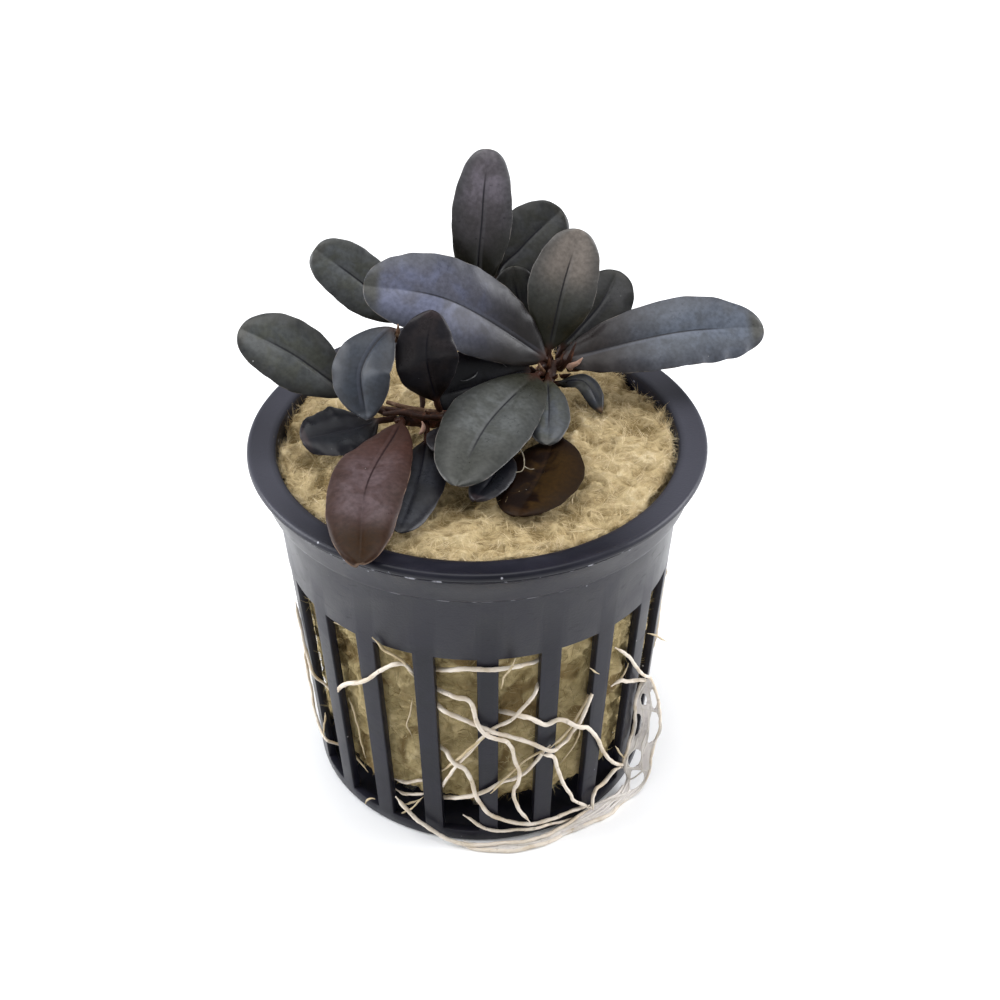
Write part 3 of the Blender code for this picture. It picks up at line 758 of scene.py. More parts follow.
def wool_faces():
    mesh = wool.data
    centres = np.empty(3 * len(mesh.polygons), np.float32)
    normals = np.empty(3 * len(mesh.polygons), np.float32)
    mesh.polygons.foreach_get("center", centres)
    mesh.polygons.foreach_get("normal", normals)
    return centres.reshape(-1, 3).astype(float), normals.reshape(-1, 3).astype(float)


def grow_fibres(name, chosen, count, seed, length_mm, radius_mm, lift):
    random = np.random.default_rng(seed)
    centres, normals = WOOL_CENTRES[chosen], WOOL_NORMALS[chosen]
    picks = random.integers(0, len(centres), count)
    places, normals = centres[picks], unit(normals[picks])
    flow = swirl_directions(places, normals, 2.6)
    jitter = random.normal(0.0, 0.2, (count, 3))
    leans = unit(flow + jitter) + normals * random.uniform(0.0, lift, (count, 1))
    lengths = random.uniform(0.4, 1.0, count) * length_mm * MM
    radii = random.uniform(0.6, 1.0, count) * radius_mm * MM
    bends = random.uniform(-0.45, 0.05, count)
    # The tone is partly painted shade and light: fibres on crests come out paler and those in pits darker;
    # the rest is random.
    tones_and_shade = 0.5 + 0.5 * relief_of(places) + 0.7 * slow_noise(places, 1.6) + random.normal(0.0, 0.16, count)
    return scatter_fibres(name, places, leans, normals, lengths, radii, bends, np.clip(tones_and_shade, 0.0, 1.0))


TOP_FROM = 45.2
SIDE_FROM = 6.4
SIDE_TO = 34.0
WOOL_CENTRES, WOOL_NORMALS = wool_faces()
ON_TOP = WOOL_CENTRES[:, 2] > TOP_FROM * MM
ON_SIDE = (WOOL_CENTRES[:, 2] < SIDE_TO * MM) & (WOOL_CENTRES[:, 2] > SIDE_FROM * MM)


def fibre_group():
    group, given, out = new_group("Loose fibres", (
        ("Pale", COLOUR, (0.78, 0.66, 0.44, 1.0)), ("Dark", COLOUR, (0.48, 0.36, 0.18, 1.0))), SKIN_OUTPUTS)
    # The stored tone mixes random tone with painted shade in the pits and painted light on the crests.
    tone = blend_colours(group, stored(group, "tone"), given["Dark"], given["Pale"])
    plug(group, tone, out["Colour"])
    plug(group, fade(group, stored(group, "tone"), 0.0, 1.0, 0.8, 0.65), out["Roughness"])
    plug(group, stored(group, "tone"), out["Height"])
    return group


FIBRES = fibre_group()
pale_fibre = skin_material("pale fibre", FIBRES, {}, 0.001, shine=0.25)
damp_tones = {"Pale": (0.78, 0.66, 0.36), "Dark": (0.14, 0.095, 0.03)}
damp_fibre = skin_material("damp fibre", FIBRES, damp_tones, 0.001, shine=0.25)
top_fibres = grow_fibres("wool_top_fibres", ON_TOP, count=18500, seed=3,
                         length_mm=2.4, radius_mm=0.046, lift=0.4)
hand_over(top_fibres, "stone_wool", pale_fibre)
side_fibres = grow_fibres("wool_side_fibres", ON_SIDE, count=13000, seed=5,
                          length_mm=2.3, radius_mm=0.048, lift=0.28)
hand_over(side_fibres, "stone_wool", damp_fibre)

# %% [markdown]
# Everything that grows follows a smooth curve. The same curve as in the solids is used, a
# Catmull-Rom spline through a few points, so a leaf or a root lands near its solid.

# %% Smooth curves
PATH_PARTS = 24


def curve_through(points, parts=PATH_PARTS):
    """A smooth curve through the points, with the same number of parts between each two."""
    given = np.array(points, float)
    ends = np.vstack([2 * given[0] - given[1], given, 2 * given[-1] - given[-2]])
    t = (np.arange(parts) / parts)[:, None]
    fine = []
    for before, here, after, beyond in zip(ends, ends[1:], ends[2:], ends[3:]):
        fine.append(0.5 * (2 * here + (after - before) * t
                           + (2 * before - 5 * here + 4 * after - beyond) * t ** 2
                           + (3 * here - before - 3 * after + beyond) * t ** 3))
    return np.vstack(fine + [given[-1:]])


def distance_along(path):
    """How far along the path each of its points lies."""
    return np.concatenate([[0.0], np.cumsum(np.linalg.norm(np.diff(path, axis=0), axis=1))])


def read_along(path, stops, marks):
    """Places on a path at the given stops, where marks says where its own points lie."""
    return np.stack([np.interp(stops, marks, column) for column in path.T], -1)


def evened(values):
    """Each value becomes the mean of itself and three neighbours on either side."""
    return np.convolve(np.pad(values, 3, mode="edge"), np.ones(7) / 7, mode="valid")


def smooth_path(points, step):
    """Evenly spaced points about one step apart on a smooth curve through the given points."""
    fine = curve_through(points)
    reach = distance_along(fine)
    stops = np.linspace(0.0, reach[-1], max(2, round(reach[-1] / step) + 1))
    return read_along(fine, stops, reach)


print("a path of", len(smooth_path([(0, 0, 0), (1, 2, 0), (3, 3, 1)], 0.1)), "points")

# %% [markdown]
# The creeping stem is a knobbly tube, ringed by the scars of old leaves. A curve with a round
# bevel gives the tube, and the radius at each of its points gives the swellings. Once it is a
# mesh, a cloud pattern roughens it.

# %% Grow the stems
CROWN_PATH = ((2.0, 5.0, 48.7), (5.0, 7.2, 48.8), (7.6, 9.2, 49.3), (8.9, 10.2, 51.2))
SHOOT_PATH = ((-0.2, 3.6, 48.6), (-4.0, 1.6, 48.7), (-9.4, 1.3, 49.1))
STEM_RADIUS = 1.25
STEM_PLACES = np.vstack([smooth_path(CROWN_PATH, 0.2), smooth_path(SHOOT_PATH, 0.2)])


def tube(name, places, radii, sides=4):
    """A round tube with closed ends along places, in mm, as a mesh."""
    curve = bpy.data.curves.new(name, "CURVE")
    curve.dimensions = "3D"
    curve.bevel_depth = MM
    curve.bevel_resolution = sides
    curve.use_fill_caps = True
    spline = curve.splines.new("POLY")
    spline.points.add(len(places) - 1)
    for spot, place, radius in zip(spline.points, places, radii):
        spot.co = (*(np.asarray(place) * MM), 1.0)
        spot.radius = radius
    piece = bpy.data.objects.new(name, curve)
    bpy.context.scene.collection.objects.link(piece)
    work_on(piece)
    bpy.ops.object.convert(target="MESH")
    return bpy.context.object


def grow_stem(name, route):
    places = smooth_path(route, 0.2)
    share = np.linspace(0.0, 1.0, len(places))
    scars = 0.1 * np.abs(np.sin(share * len(places) * 0.2 * math.pi / 1.1)) ** 0.6
    ends = np.clip(np.minimum(share, 1.0 - share) / 0.06, 0.35, 1.0)
    stem = tube(name, places, STEM_RADIUS * (0.93 - 0.2 * share + scars) * ends, sides=6)
    pattern = bpy.data.textures.new(name + " bark", "CLOUDS")
    pattern.noise_scale = 0.6 * MM
    rough = stem.modifiers.new("bark", "DISPLACE")
    rough.texture = pattern
    rough.texture_coords = "LOCAL"
    rough.strength = 0.3 * MM
    apply_modifiers(stem)
    return stem


def bark_group():
    group, given, out = new_group("Stem bark", (
        ("Bark", COLOUR, (0.03, 0.009, 0.006, 1.0)), ("Light", COLOUR, (0.11, 0.035, 0.02, 1.0)),
        ("Roughness", NUMBER, 0.5)), SKIN_OUTPUTS)
    place = object_place(group)
    broad = cloudy(group, place, 1.2, 4.0, 1.0)
    fine = cloudy(group, place, 0.3, 3.0)
    plug(group, blend_colours(group, fade(group, broad, 0.45, 0.7), given["Bark"], given["Light"]),
         out["Colour"])
    uneven = fade(group, fine, 0.3, 0.7, -0.08, 0.12)
    plug(group, plus(group, given["Roughness"], uneven), out["Roughness"])
    plug(group, plus(group, broad, fine), out["Height"])
    return group


BARK = bark_group()
red_bark = skin_material("red bark", BARK, {}, 0.08, shine=0.3)
hand_over(grow_stem("crown_stem", CROWN_PATH), "red_stem", red_bark, "stem_crown")
hand_over(grow_stem("side_stem", SHOOT_PATH), "red_stem", red_bark, "stem_side_shoot")

# %% [markdown]
# A leaf is one skin: a round stalk that flattens into a thin blade. Two sheets with a wall
# between them would need a seam, so a flat grid is rolled up instead, like a flattened tube.
# Its columns run over the upper side and back underneath, and crowd at the rim and the
# midrib, where the shape changes fast. The grid is a primitive; its points are then placed
# by formula, because a blade has to follow a curve in space more closely than pushing and
# bending by hand would allow.

# %% Set out the grid of a leaf
ACROSS = (1.0, 0.985, 0.94, 0.84, 0.68, 0.5, 0.32, 0.19, 0.1, 0.045, 0.0)
STALK_ROWS = 8
BLADE_ROWS = 44
STALK_RADIUS = 0.4
BLADE_HALF_THICK = 0.16


def ring_columns():
    """Across, and +1 above or -1 below, round one section of a leaf; it ends where it starts."""
    over = list(ACROSS) + [-value for value in reversed(ACROSS[:-1])]
    under = list(reversed(over))[1:]
    across = np.array(over + under)
    side = np.array([1.0] * len(over) + [-1.0] * len(under))
    return across, side


RING_ACROSS, RING_SIDE = ring_columns()


def outline(share, widest, point, fullness):
    """Half width of a blade as a share of its widest; a larger point makes a sharper tip."""
    rising = np.cos(math.pi / 2 * np.clip((widest - share) / widest, 0.0, 1.0)) ** fullness
    beyond = np.clip((share - widest) / (1.0 - widest), 0.0, 1.0)
    return np.where(share < widest, rising, (1.0 - beyond ** 2) ** point)


def leaf_rows(path, split, width, widest, looks):
    """Row by row: place, half width, half thickness, how far along, and how much it is blade."""
    blade = path[split:]
    stalk_places = path[np.linspace(0, max(1, split - 3), STALK_ROWS).round().astype(int)]
    share = 0.5 - 0.5 * np.cos(math.pi * (np.arange(BLADE_ROWS) + 0.4) / (BLADE_ROWS - 0.6))
    spots = share * (len(blade) - 1)
    blade_places = read_along(blade, spots, np.arange(len(blade)))
    full = outline(share, widest, looks.get("point", 0.48), looks.get("fullness", 0.85))
    half = np.maximum(STALK_RADIUS * (1.0 - share), 0.5 * width * full)
    settle = np.clip(share / 0.16, 0.0, 1.0)
    settle = settle * settle * (3 - 2 * settle)
    thick = STALK_RADIUS + (BLADE_HALF_THICK - STALK_RADIUS) * settle
    thick = thick * np.clip((1.0 - share) / 0.03, 0.15, 1.0)
    places = np.vstack([stalk_places, blade_places])
    half = np.concatenate([np.full(STALK_ROWS, STALK_RADIUS), half])
    thick = np.concatenate([np.full(STALK_ROWS, STALK_RADIUS), thick])
    along = np.concatenate([np.full(STALK_ROWS, -0.001), share])
    bladed = np.concatenate([np.zeros(STALK_ROWS), settle])
    return places, half, thick, along, bladed


print("points in a leaf's grid:", len(RING_ACROSS) * (STALK_ROWS + BLADE_ROWS))

# %% [markdown]
# What makes a blade look alive is its relief: two soft cushions beside a sunk midrib, edges
# that curl down, slow waves and, on one leaf, a frill. Each is one term of a sum, so that a
# leaf can have more of one and less of another.

# %% Shape a leaf
NO_FRILL = (1.0, 0.0, 0.0)


def blade_lift(a, s, half, fold, looks, phases):
    """How far each point of a blade stands above a flat leaf, in mm; a is across, s is along."""
    waves = looks.get("waves", 2.4)
    phase = np.where(a > 0, phases[0], phases[1])
    edge_wave = np.sin(math.tau * waves * s + phase) + 0.5 * np.sin(math.tau * 2.3 * waves * s + phases[2])
    lift = fold * half * a ** 2 + looks.get("ripple", 0.13) * np.abs(a) ** 2.5 * edge_wave
    lift = lift + looks.get("cushion", 0.05) * half * np.sin(math.pi * np.abs(a)) ** 1.5
    lift = lift - looks.get("curl", 0.22) * np.abs(a) ** 7
    lift = lift + 0.1 * np.sin(math.tau * 1.3 * s + phases[4]) * a
    side, count, height = looks.get("frill", NO_FRILL)
    frill = np.clip(a * side, 0.0, 1.0) ** 5 * np.sin(math.tau * count * s + phases[5])
    return lift + height * frill


def rib_lift(off_rib, s, groove):
    """The midrib: a groove above and a ridge below, fading out towards the tip."""
    above = -groove * np.exp(-(off_rib / 0.24) ** 2) * np.clip((1.0 - s) / 0.25, 0.0, 1.0)
    below = -0.3 * np.exp(-(off_rib / 0.4) ** 2) * np.clip((1.0 - s) / 0.7, 0.0, 1.0)
    return np.where(RING_SIDE[None] > 0, above, below)


def nearest_in_stem(place):
    return STEM_PLACES[np.argmin(np.linalg.norm(STEM_PLACES - np.array(place), axis=1))]


def shape_leaf(name, sizes, looks, seed):
    stalk, base, middle, tip, width, face, widest, fold = sizes
    path = smooth_path([nearest_in_stem(stalk), stalk, base, middle, tip], 0.1)
    split = int(np.argmin(np.linalg.norm(path - np.array(base), axis=1)))
    places, half, thick, along, bladed = leaf_rows(path, split, width, widest, looks)
    ahead = unit(np.gradient(places, axis=0))
    aside = unit(np.cross(ahead, unit(np.array(face, float))))
    upward = np.cross(aside, ahead)
    phases = np.random.default_rng(seed).uniform(0.0, math.tau, 6)
    a, s, blade = RING_ACROSS[None], along[:, None], bladed[:, None]
    wobble = 0.018 * np.sin(math.tau * 2.1 * s + phases[3] + (a > 0) * 1.7)
    wobble = wobble + 0.01 * np.sin(math.tau * 7.3 * s + phases[4] + (a > 0) * 2.9)
    side, count, height = looks.get("frill", NO_FRILL)
    wobble = wobble + 0.09 * height * (a * side > 0) * np.sin(math.tau * count * s + phases[5] + 0.8)
    wide = half[:, None] * (1.0 + wobble * (blade > 0))
    lift = blade * blade_lift(a, s, half[:, None], fold, looks, phases)
    lift = lift + blade * rib_lift(a * wide, s, looks.get("groove", 0.14))
    lift = lift + thick[:, None] * np.sqrt(np.clip(1.0 - a ** 2, 0.0, 1.0)) * RING_SIDE[None]
    solid = places[:, None] + aside[:, None] * (a * wide)[..., None] + upward[:, None] * lift[..., None]
    solid[0] = places[0]
    solid[-1] = places[-1]
    return roll_grid(name, solid, along, bladed, a * wide)


def grid_piece(name, solid):
    """Adds a grid and moves its points, in mm, to the given rows and columns of places."""
    rows, columns = solid.shape[:2]
    clear_selection()
    bpy.ops.mesh.primitive_grid_add(x_subdivisions=columns - 1, y_subdivisions=rows - 1, size=1.0)
    piece = bpy.context.object
    piece.name = name
    move_points(piece, solid.reshape(-1, 3) * MM)
    return piece


def subdivide_once(piece):
    softer = piece.modifiers.new("softer", "SUBSURF")
    softer.levels = 1
    softer.render_levels = 1


def roll_grid(name, solid, along, bladed, off_rib):
    """Closes a grid into one skin, with the values that its finish reads."""
    rows, columns = solid.shape[:2]
    leaf = grid_piece(name, solid)
    store(leaf, "along", np.repeat(along, columns))
    store(leaf, "across", np.tile(RING_ACROSS, rows))
    store(leaf, "off_rib", off_rib.ravel())
    store(leaf, "upper", np.tile(0.5 + 0.5 * RING_SIDE * (np.abs(RING_ACROSS) < 1.0), rows))
    store(leaf, "blade", np.repeat(bladed, columns))
    work_on(leaf)
    bpy.ops.object.mode_set(mode="EDIT")
    bpy.ops.mesh.select_all(action="SELECT")
    bpy.ops.mesh.remove_doubles(threshold=0.004 * MM)
    bpy.ops.mesh.normals_make_consistent(inside=False)
    bpy.ops.object.mode_set(mode="OBJECT")
    subdivide_once(leaf)
    apply_modifiers(leaf)
    return leaf


# %% [markdown]
# The leaf finish reads where it is on the blade from values that the mesh carries: how far
# along, how far across, how many millimetres from the midrib, and which side. From those come
# the painted shade in the sunk midrib with a painted highlight on its bank, the painted shade at
# the edges, the thin pale rim, the dark olive painted shade towards the foot and the browner tip.
# Clouds, fine streaks away from the midrib and a grain add the mottling.

# %% Finish for leaves
STREAKS_ALONG = 42.0
STREAK_SLANT = 1.3
DUST_COLOUR = (0.6, 0.6, 0.58)


def leaf_group():
    group, given, out = new_group("Leaf skin", (
        ("Blade", COLOUR, (0.075, 0.078, 0.08, 1.0)), ("Clouds", COLOUR, (0.05, 0.052, 0.04, 1.0)),
        ("Shaded edge", COLOUR, (0.035, 0.037, 0.038, 1.0)), ("Shade", COLOUR, (0.03, 0.03, 0.018, 1.0)),
        ("Tip", COLOUR, (0.06, 0.06, 0.055, 1.0)), ("Rib shade", COLOUR, (0.004, 0.004, 0.008, 1.0)),
        ("Ridge highlight", COLOUR, (0.13, 0.13, 0.14, 1.0)), ("Rim", COLOUR, (0.16, 0.14, 0.125, 1.0)),
        ("Stalk", COLOUR, (0.035, 0.014, 0.009, 1.0)), ("Underside", COLOUR, (0.06, 0.03, 0.035, 1.0)),
        ("Clouding", NUMBER, 0.75), ("Edge shade", NUMBER, 0.7), ("Shade reach", NUMBER, 0.35),
        ("Tip reach", NUMBER, 0.1), ("Rib from", NUMBER, 0.12), ("Rib to", NUMBER, 0.85),
        ("Rib shade strength", NUMBER, 0.85), ("Ridge highlight strength", NUMBER, 0.16), ("Rim strength", NUMBER, 0.6),
        ("Streaks", NUMBER, 0.05), ("Specks", NUMBER, 0.4), ("Lopsided", NUMBER, 0.0),
        ("Roughness", NUMBER, 0.36)), SKIN_OUTPUTS)
    place = object_place(group)
    along, across = stored(group, "along"), maths(group, "ABSOLUTE", stored(group, "across"))
    off_rib = stored(group, "off_rib")
    from_rib = maths(group, "ABSOLUTE", off_rib)
    broad = cloudy(group, place, 2.6, 4.0, 0.6)
    fine = cloudy(group, place, 0.5, 5.0)
    drift = times(group, stored(group, "across"), given["Lopsided"])
    clouds = fade(group, plus(group, broad, drift), 0.4, 0.62)
    clouds = times(group, clouds, given["Clouding"])
    tone = blend_colours(group, clouds, given["Blade"], given["Clouds"])
    reach = minus(group, 1.0, given["Tip reach"])
    tip_full = minus(group, 1.0, times(group, given["Tip reach"], 0.45))
    tone = blend_colours(group, fade(group, along, reach, tip_full), tone, given["Tip"])
    # Painted shade: the blade darkens towards its edges, as the curled-down edges are shaded.
    edge = times(group, fade(group, across, 0.35, 1.0), given["Edge shade"])
    tone = blend_colours(group, edge, tone, given["Shaded edge"])
    # Painted shade towards the foot of the blade, where the leaves crowd at the crown.
    shade_full = times(group, given["Shade reach"], 0.25)
    tone = blend_colours(group, fade(group, along, given["Shade reach"], shade_full), tone, given["Shade"])
    slanted = minus(group, times(group, along, STREAKS_ALONG), times(group, from_rib, STREAK_SLANT))
    across_rib = place_from(group, slanted, times(group, off_rib, 0.5), times(group, broad, 1.5))
    streaky = cloudy(group, across_rib, UNSCALED, 2.0)
    swing = times(group, fade(group, streaky, 0.3, 0.7, -1.0, 1.0), given["Streaks"])
    grain = plus(group, plus(group, swing, 1.0), fade(group, fine, 0.3, 0.7, -0.16, 0.16))
    tone = blend_colours(group, 1.0, tone, grain, "MULTIPLY")
    run = times(group, fade(group, along, given["Rib to"], minus(group, given["Rib to"], 0.18)),
                fade(group, along, minus(group, given["Rib from"], 0.08), given["Rib from"]))
    # Painted highlight: a light band on one bank of the midrib.
    bank_highlight = fade(group, maths(group, "ABSOLUTE", minus(group, off_rib, 0.3)), 0.26, 0.06)
    bank_highlight = times(group, times(group, bank_highlight, run), given["Ridge highlight strength"])
    tone = blend_colours(group, bank_highlight, tone, given["Ridge highlight"])
    # Painted shade: a thin dark line along the sunk midrib.
    rib_shade = times(group, fade(group, from_rib, 0.15, 0.04), run)
    tone = blend_colours(group, times(group, rib_shade, given["Rib shade strength"]), tone, given["Rib shade"])
    under = fade(group, stored(group, "upper"), 0.45, 0.25)
    tone = blend_colours(group, under, tone, given["Underside"])
    in_rim = times(group, minus(group, 1.0, across),
                   maths(group, "DIVIDE", from_rib, maths(group, "MAXIMUM", across, 0.01)))
    rim = maths(group, "MAXIMUM", fade(group, in_rim, 0.12, 0.03), fade(group, along, 0.992, 0.998))
    rim = times(group, rim, fade(group, along, 0.1, 0.35))
    rim = times(group, rim, fade(group, cloudy(group, place, 1.3, 3.0), 0.4, 0.6))
    tone = blend_colours(group, times(group, rim, given["Rim strength"]), tone, given["Rim"])
    dots = specks(group, place, 1.5, 0.055, 0.5)
    dots = times(group, dots, fade(group, cloudy(group, place, 4.0, 1.0), 0.46, 0.6))
    dots = times(group, dots, given["Specks"])
    tone = blend_colours(group, dots, tone, DUST_COLOUR)
    red = times(group, fade(group, along, 0.1, 0.0), fade(group, from_rib, 0.8, 0.2))
    red = maths(group, "MAXIMUM", red, fade(group, stored(group, "blade"), 0.2, 0.0))
    plug(group, blend_colours(group, red, tone, given["Stalk"]), out["Colour"])
    rough = plus(group, given["Roughness"], fade(group, broad, 0.3, 0.7, -0.08, 0.08))
    plug(group, plus(group, rough, fade(group, fine, 0.3, 0.7, -0.02, 0.03)), out["Roughness"])
    height = plus(group, times(group, fine, 0.2), times(group, streaky, 0.4))
    plug(group, plus(group, height, times(group, broad, 1.0)), out["Height"])
    return group


LEAF_SKIN = leaf_group()
print("leaf finish nodes:", len(LEAF_SKIN.nodes))

# %% [markdown]
# Each leaf starts from the curve and width of its solid, in millimetres. Some stalks and widths
# are changed to fit the picture better, most of all those of two inner leaves. A leaf is given
# by the end of its stalk, the base, middle and tip of its blade, its greatest width, the way
# its upper side faces, where it is widest, and how far its halves fold up.

# %% Places of the leaves
LEAVES = {
    "leaf_upright": ((7.6, 11.6, 51.2), (0.8, 12.6, 59.2), (0.9, 15.0, 69.0), (1.7, 18.0, 76.0),
                     7.3, (0.1, -1.0, 0.45), 0.55, 0.1),
    "leaf_back": ((9.0, 12.2, 51.4), (2.9, 15.5, 59.5), (5.8, 17.5, 63.4), (10.7, 20.0, 67.2),
                  8.0, (-0.2, -1.0, 0.6), 0.6, 0.1),
    "leaf_oval": ((9.2, 10.3, 51.0), (8.9, 10.0, 53.1), (10.5, 11.0, 61.3), (12.6, 14.0, 67.4),
                  8.3, (0.0, -1.0, 0.7), 0.55, 0.1),
    "leaf_right_back": ((10.2, 10.8, 50.6), (10.5, 11.0, 52.5), (15.4, 14.5, 56.8), (17.9, 18.0, 59.7),
                        7.5, (-0.3, -1.0, 0.7), 0.6, 0.1),
    "leaf_long_right": ((9.6, 9.6, 50.6), (10.5, 9.3, 52.0), (24.3, 10.0, 55.3), (35.6, 12.0, 54.8),
                        9.2, (0.0, -1.0, 1.3), 0.6, 0.06),
    "leaf_long_left": ((8.2, 9.2, 51.2), (8.4, 8.9, 52.5), (-2.8, 6.0, 62.2), (-13.0, 5.0, 65.0),
                       10.4, (0.0, -1.0, 1.0), 0.56, 0.06),
    "leaf_left_back": ((5.6, 9.9, 50.0), (-8.2, 11.0, 56.8), (-14.0, 12.0, 61.8), (-19.2, 13.0, 65.7),
                       7.2, (0.0, -1.0, 0.9), 0.55, 0.1),
    "leaf_far_left": ((-10.9, 1.8, 49.4), (-15.0, 1.5, 52.2), (-21.5, 1.5, 58.0), (-27.5, 3.0, 60.6),
                      8.2, (0.0, -1.0, 1.2), 0.55, 0.1),
    "leaf_arching": ((-6.6, 3.2, 52.0), (-9.4, 1.2, 61.0), (-13.0, -3.2, 58.8), (-12.6, -6.0, 53.5),
                     7.8, (-0.6, -1.0, 0.9), 0.55, 0.08),
    "leaf_black": ((-4.5, 0.9, 50.4), (-4.8, 0.5, 51.8), (-5.8, -0.4, 58.6), (-5.0, 2.0, 63.3),
                   7.4, (0.1, -1.0, 0.5), 0.5, 0.12),
    "leaf_front": ((8.0, 8.2, 50.6), (7.2, 7.0, 51.2), (1.3, -4.0, 51.6), (-2.5, -15.0, 50.6),
                   10.4, (0.0, -0.35, 1.0), 0.5, 0.06),
    "leaf_low_left": ((-11.0, 0.9, 49.0), (-11.8, 0.4, 49.2), (-15.6, -2.0, 49.5), (-20.5, -4.5, 49.8),
                      8.0, (0.0, -0.3, 1.0), 0.5, 0.08),
    "leaf_over_rim": ((-9.6, -0.4, 49.6), (-9.0, -1.6, 50.0), (-12.3, -15.0, 50.8), (-12.6, -26.2, 48.6),
                       8.7, (0.0, -0.3, 1.0), 0.55, 0.06),
    "leaf_dark_front": ((-6.2, -0.3, 48.8), (-6.0, -3.0, 48.7), (-6.8, -12.0, 49.0), (-8.8, -20.5, 48.4),
                        6.2, (0.1, -0.2, 1.0), 0.5, 0.08),
    "leaf_small_grey": ((8.8, 8.1, 50.4), (8.7, 7.2, 50.4), (8.6, 0.8, 50.0), (8.1, -4.6, 48.9),
                        5.1, (0.0, -0.3, 1.0), 0.6, 0.1),
    "leaf_brown": ((9.4, 7.5, 48.5), (9.3, -1.0, 48.0), (7.3, -9.5, 48.0), (4.3, -17.0, 47.8),
                   9.8, (-0.12, -0.1, 1.0), 0.5, 0.05),
    "leaf_hooked": ((9.0, 8.6, 48.9), (9.8, 8.0, 49.4), (13.2, 6.5, 50.5), (15.2, 3.4, 48.0),
                    3.0, (0.0, -0.2, 1.0), 0.5, 0.1),
    "leaf_tiny_dark": ((-3.6, -0.3, 49.2), (-3.8, -1.4, 49.3), (-4.4, -4.6, 50.2), (-4.6, -7.6, 50.1),
                       3.2, (0.1, -0.2, 1.0), 0.5, 0.1),
    "leaf_inner_back": ((8.0, 11.0, 51.5), (7.6, 11.5, 53.0), (5.2, 13.0, 58.6), (4.6, 13.8, 62.6),
                        6.6, (0.0, -1.0, 0.6), 0.5, 0.1),
    # This leaf is wider and longer than its solid, to stand in for the deep shade among the inner leaves; a
    # dark leaf is there too.
    "leaf_inner_left": ((7.0, 8.8, 50.3), (6.5, 8.4, 51.2), (2.0, 5.6, 51.5), (-4.8, 2.6, 51.1),
                        9.8, (0.0, -1.0, 0.6), 0.5, 0.1),
    "leaf_under": ((4.3, 4.5, 48.6), (3.3, -5.1, 48.8), (1.8, -10.8, 48.9), (-0.4, -15.3, 48.8),
                   4.6, (0.0, -0.1, 1.0), 0.5, 0.05),
}
print("leaves to grow:", len(LEAVES))

# %% [markdown]
# The looks are kept in two tables, one of skins and one of each leaf's own changes to its skin,
# so that a reader can see at a glance what makes one leaf unlike the others.

# %% Looks of the leaves
SKINS = {
    "slate": ("slate_leaf", {}),
    # A shaded copy of the slate skin: the same leaf colours about half as bright, painted shade for the
    # leaves at the back.
    "shaded slate": ("slate_leaf", {"Blade": (0.034, 0.035, 0.036), "Clouds": (0.024, 0.024, 0.019),
                           "Shaded edge": (0.014, 0.014, 0.014), "Shade": (0.008, 0.008, 0.005),
                           "Ridge highlight": (0.06, 0.06, 0.06), "Rim": (0.08, 0.075, 0.06),
                           "Tip": (0.03, 0.029, 0.026)}),
    "blue": ("blue_leaf", {"Blade": (0.104, 0.112, 0.165), "Clouds": (0.072, 0.078, 0.1),
                           "Shaded edge": (0.05, 0.053, 0.064), "Ridge highlight": (0.15, 0.16, 0.21),
                           "Rim": (0.22, 0.19, 0.16),
                           "Shade": (0.026, 0.021, 0.02), "Shade reach": 0.6}),
    "plum": ("plum_leaf", {"Blade": (0.125, 0.11, 0.13), "Clouds": (0.068, 0.06, 0.066),
                           "Shade": (0.007, 0.007, 0.004), "Shade reach": 0.85,
                           "Tip": (0.115, 0.105, 0.115)}),
    "rose": ("plum_leaf",
             {"Blade": (0.08, 0.055, 0.057), "Clouds": (0.05, 0.03, 0.029), "Shaded edge": (0.03, 0.015, 0.01),
                           "Shade": (0.044, 0.019, 0.014), "Shade reach": 0.5, "Tip": (0.019, 0.007, 0.0008),
                           "Tip reach": 0.3, "Ridge highlight": (0.13, 0.09, 0.09), "Rim": (0.2, 0.13, 0.09),
                           "Rib shade": (0.012, 0.005, 0.006), "Clouding": 0.9}),
    "black": ("dark_leaf", {"Blade": (0.019, 0.0155, 0.0165), "Clouds": (0.006, 0.006, 0.009),
                            "Shaded edge": (0.007, 0.006, 0.008), "Shade": (0.004, 0.002, 0.002),
                            "Tip": (0.03, 0.022, 0.024),
                            "Ridge highlight": (0.03, 0.03, 0.034), "Rim": (0.05, 0.042, 0.042), "Roughness": 0.34,
                            "Underside": (0.012, 0.008, 0.009)}),
    "brown": ("brown_leaf",
              {"Blade": (0.005, 0.0014, 0.0003), "Clouds": (0.024, 0.0115, 0.002), "Clouding": 1.0,
                             "Lopsided": -0.3, "Shaded edge": (0.009, 0.004, 0.0015),
                             "Shade": (0.008, 0.0035, 0.002),
                             "Tip": (0.02, 0.009, 0.003), "Ridge highlight": (0.03, 0.014, 0.008), "Rib shade strength": 0.4,
                             "Rim": (0.03, 0.022, 0.01), "Roughness": 0.5, "Rib shade": (0.003, 0.001, 0.0005)}),
}
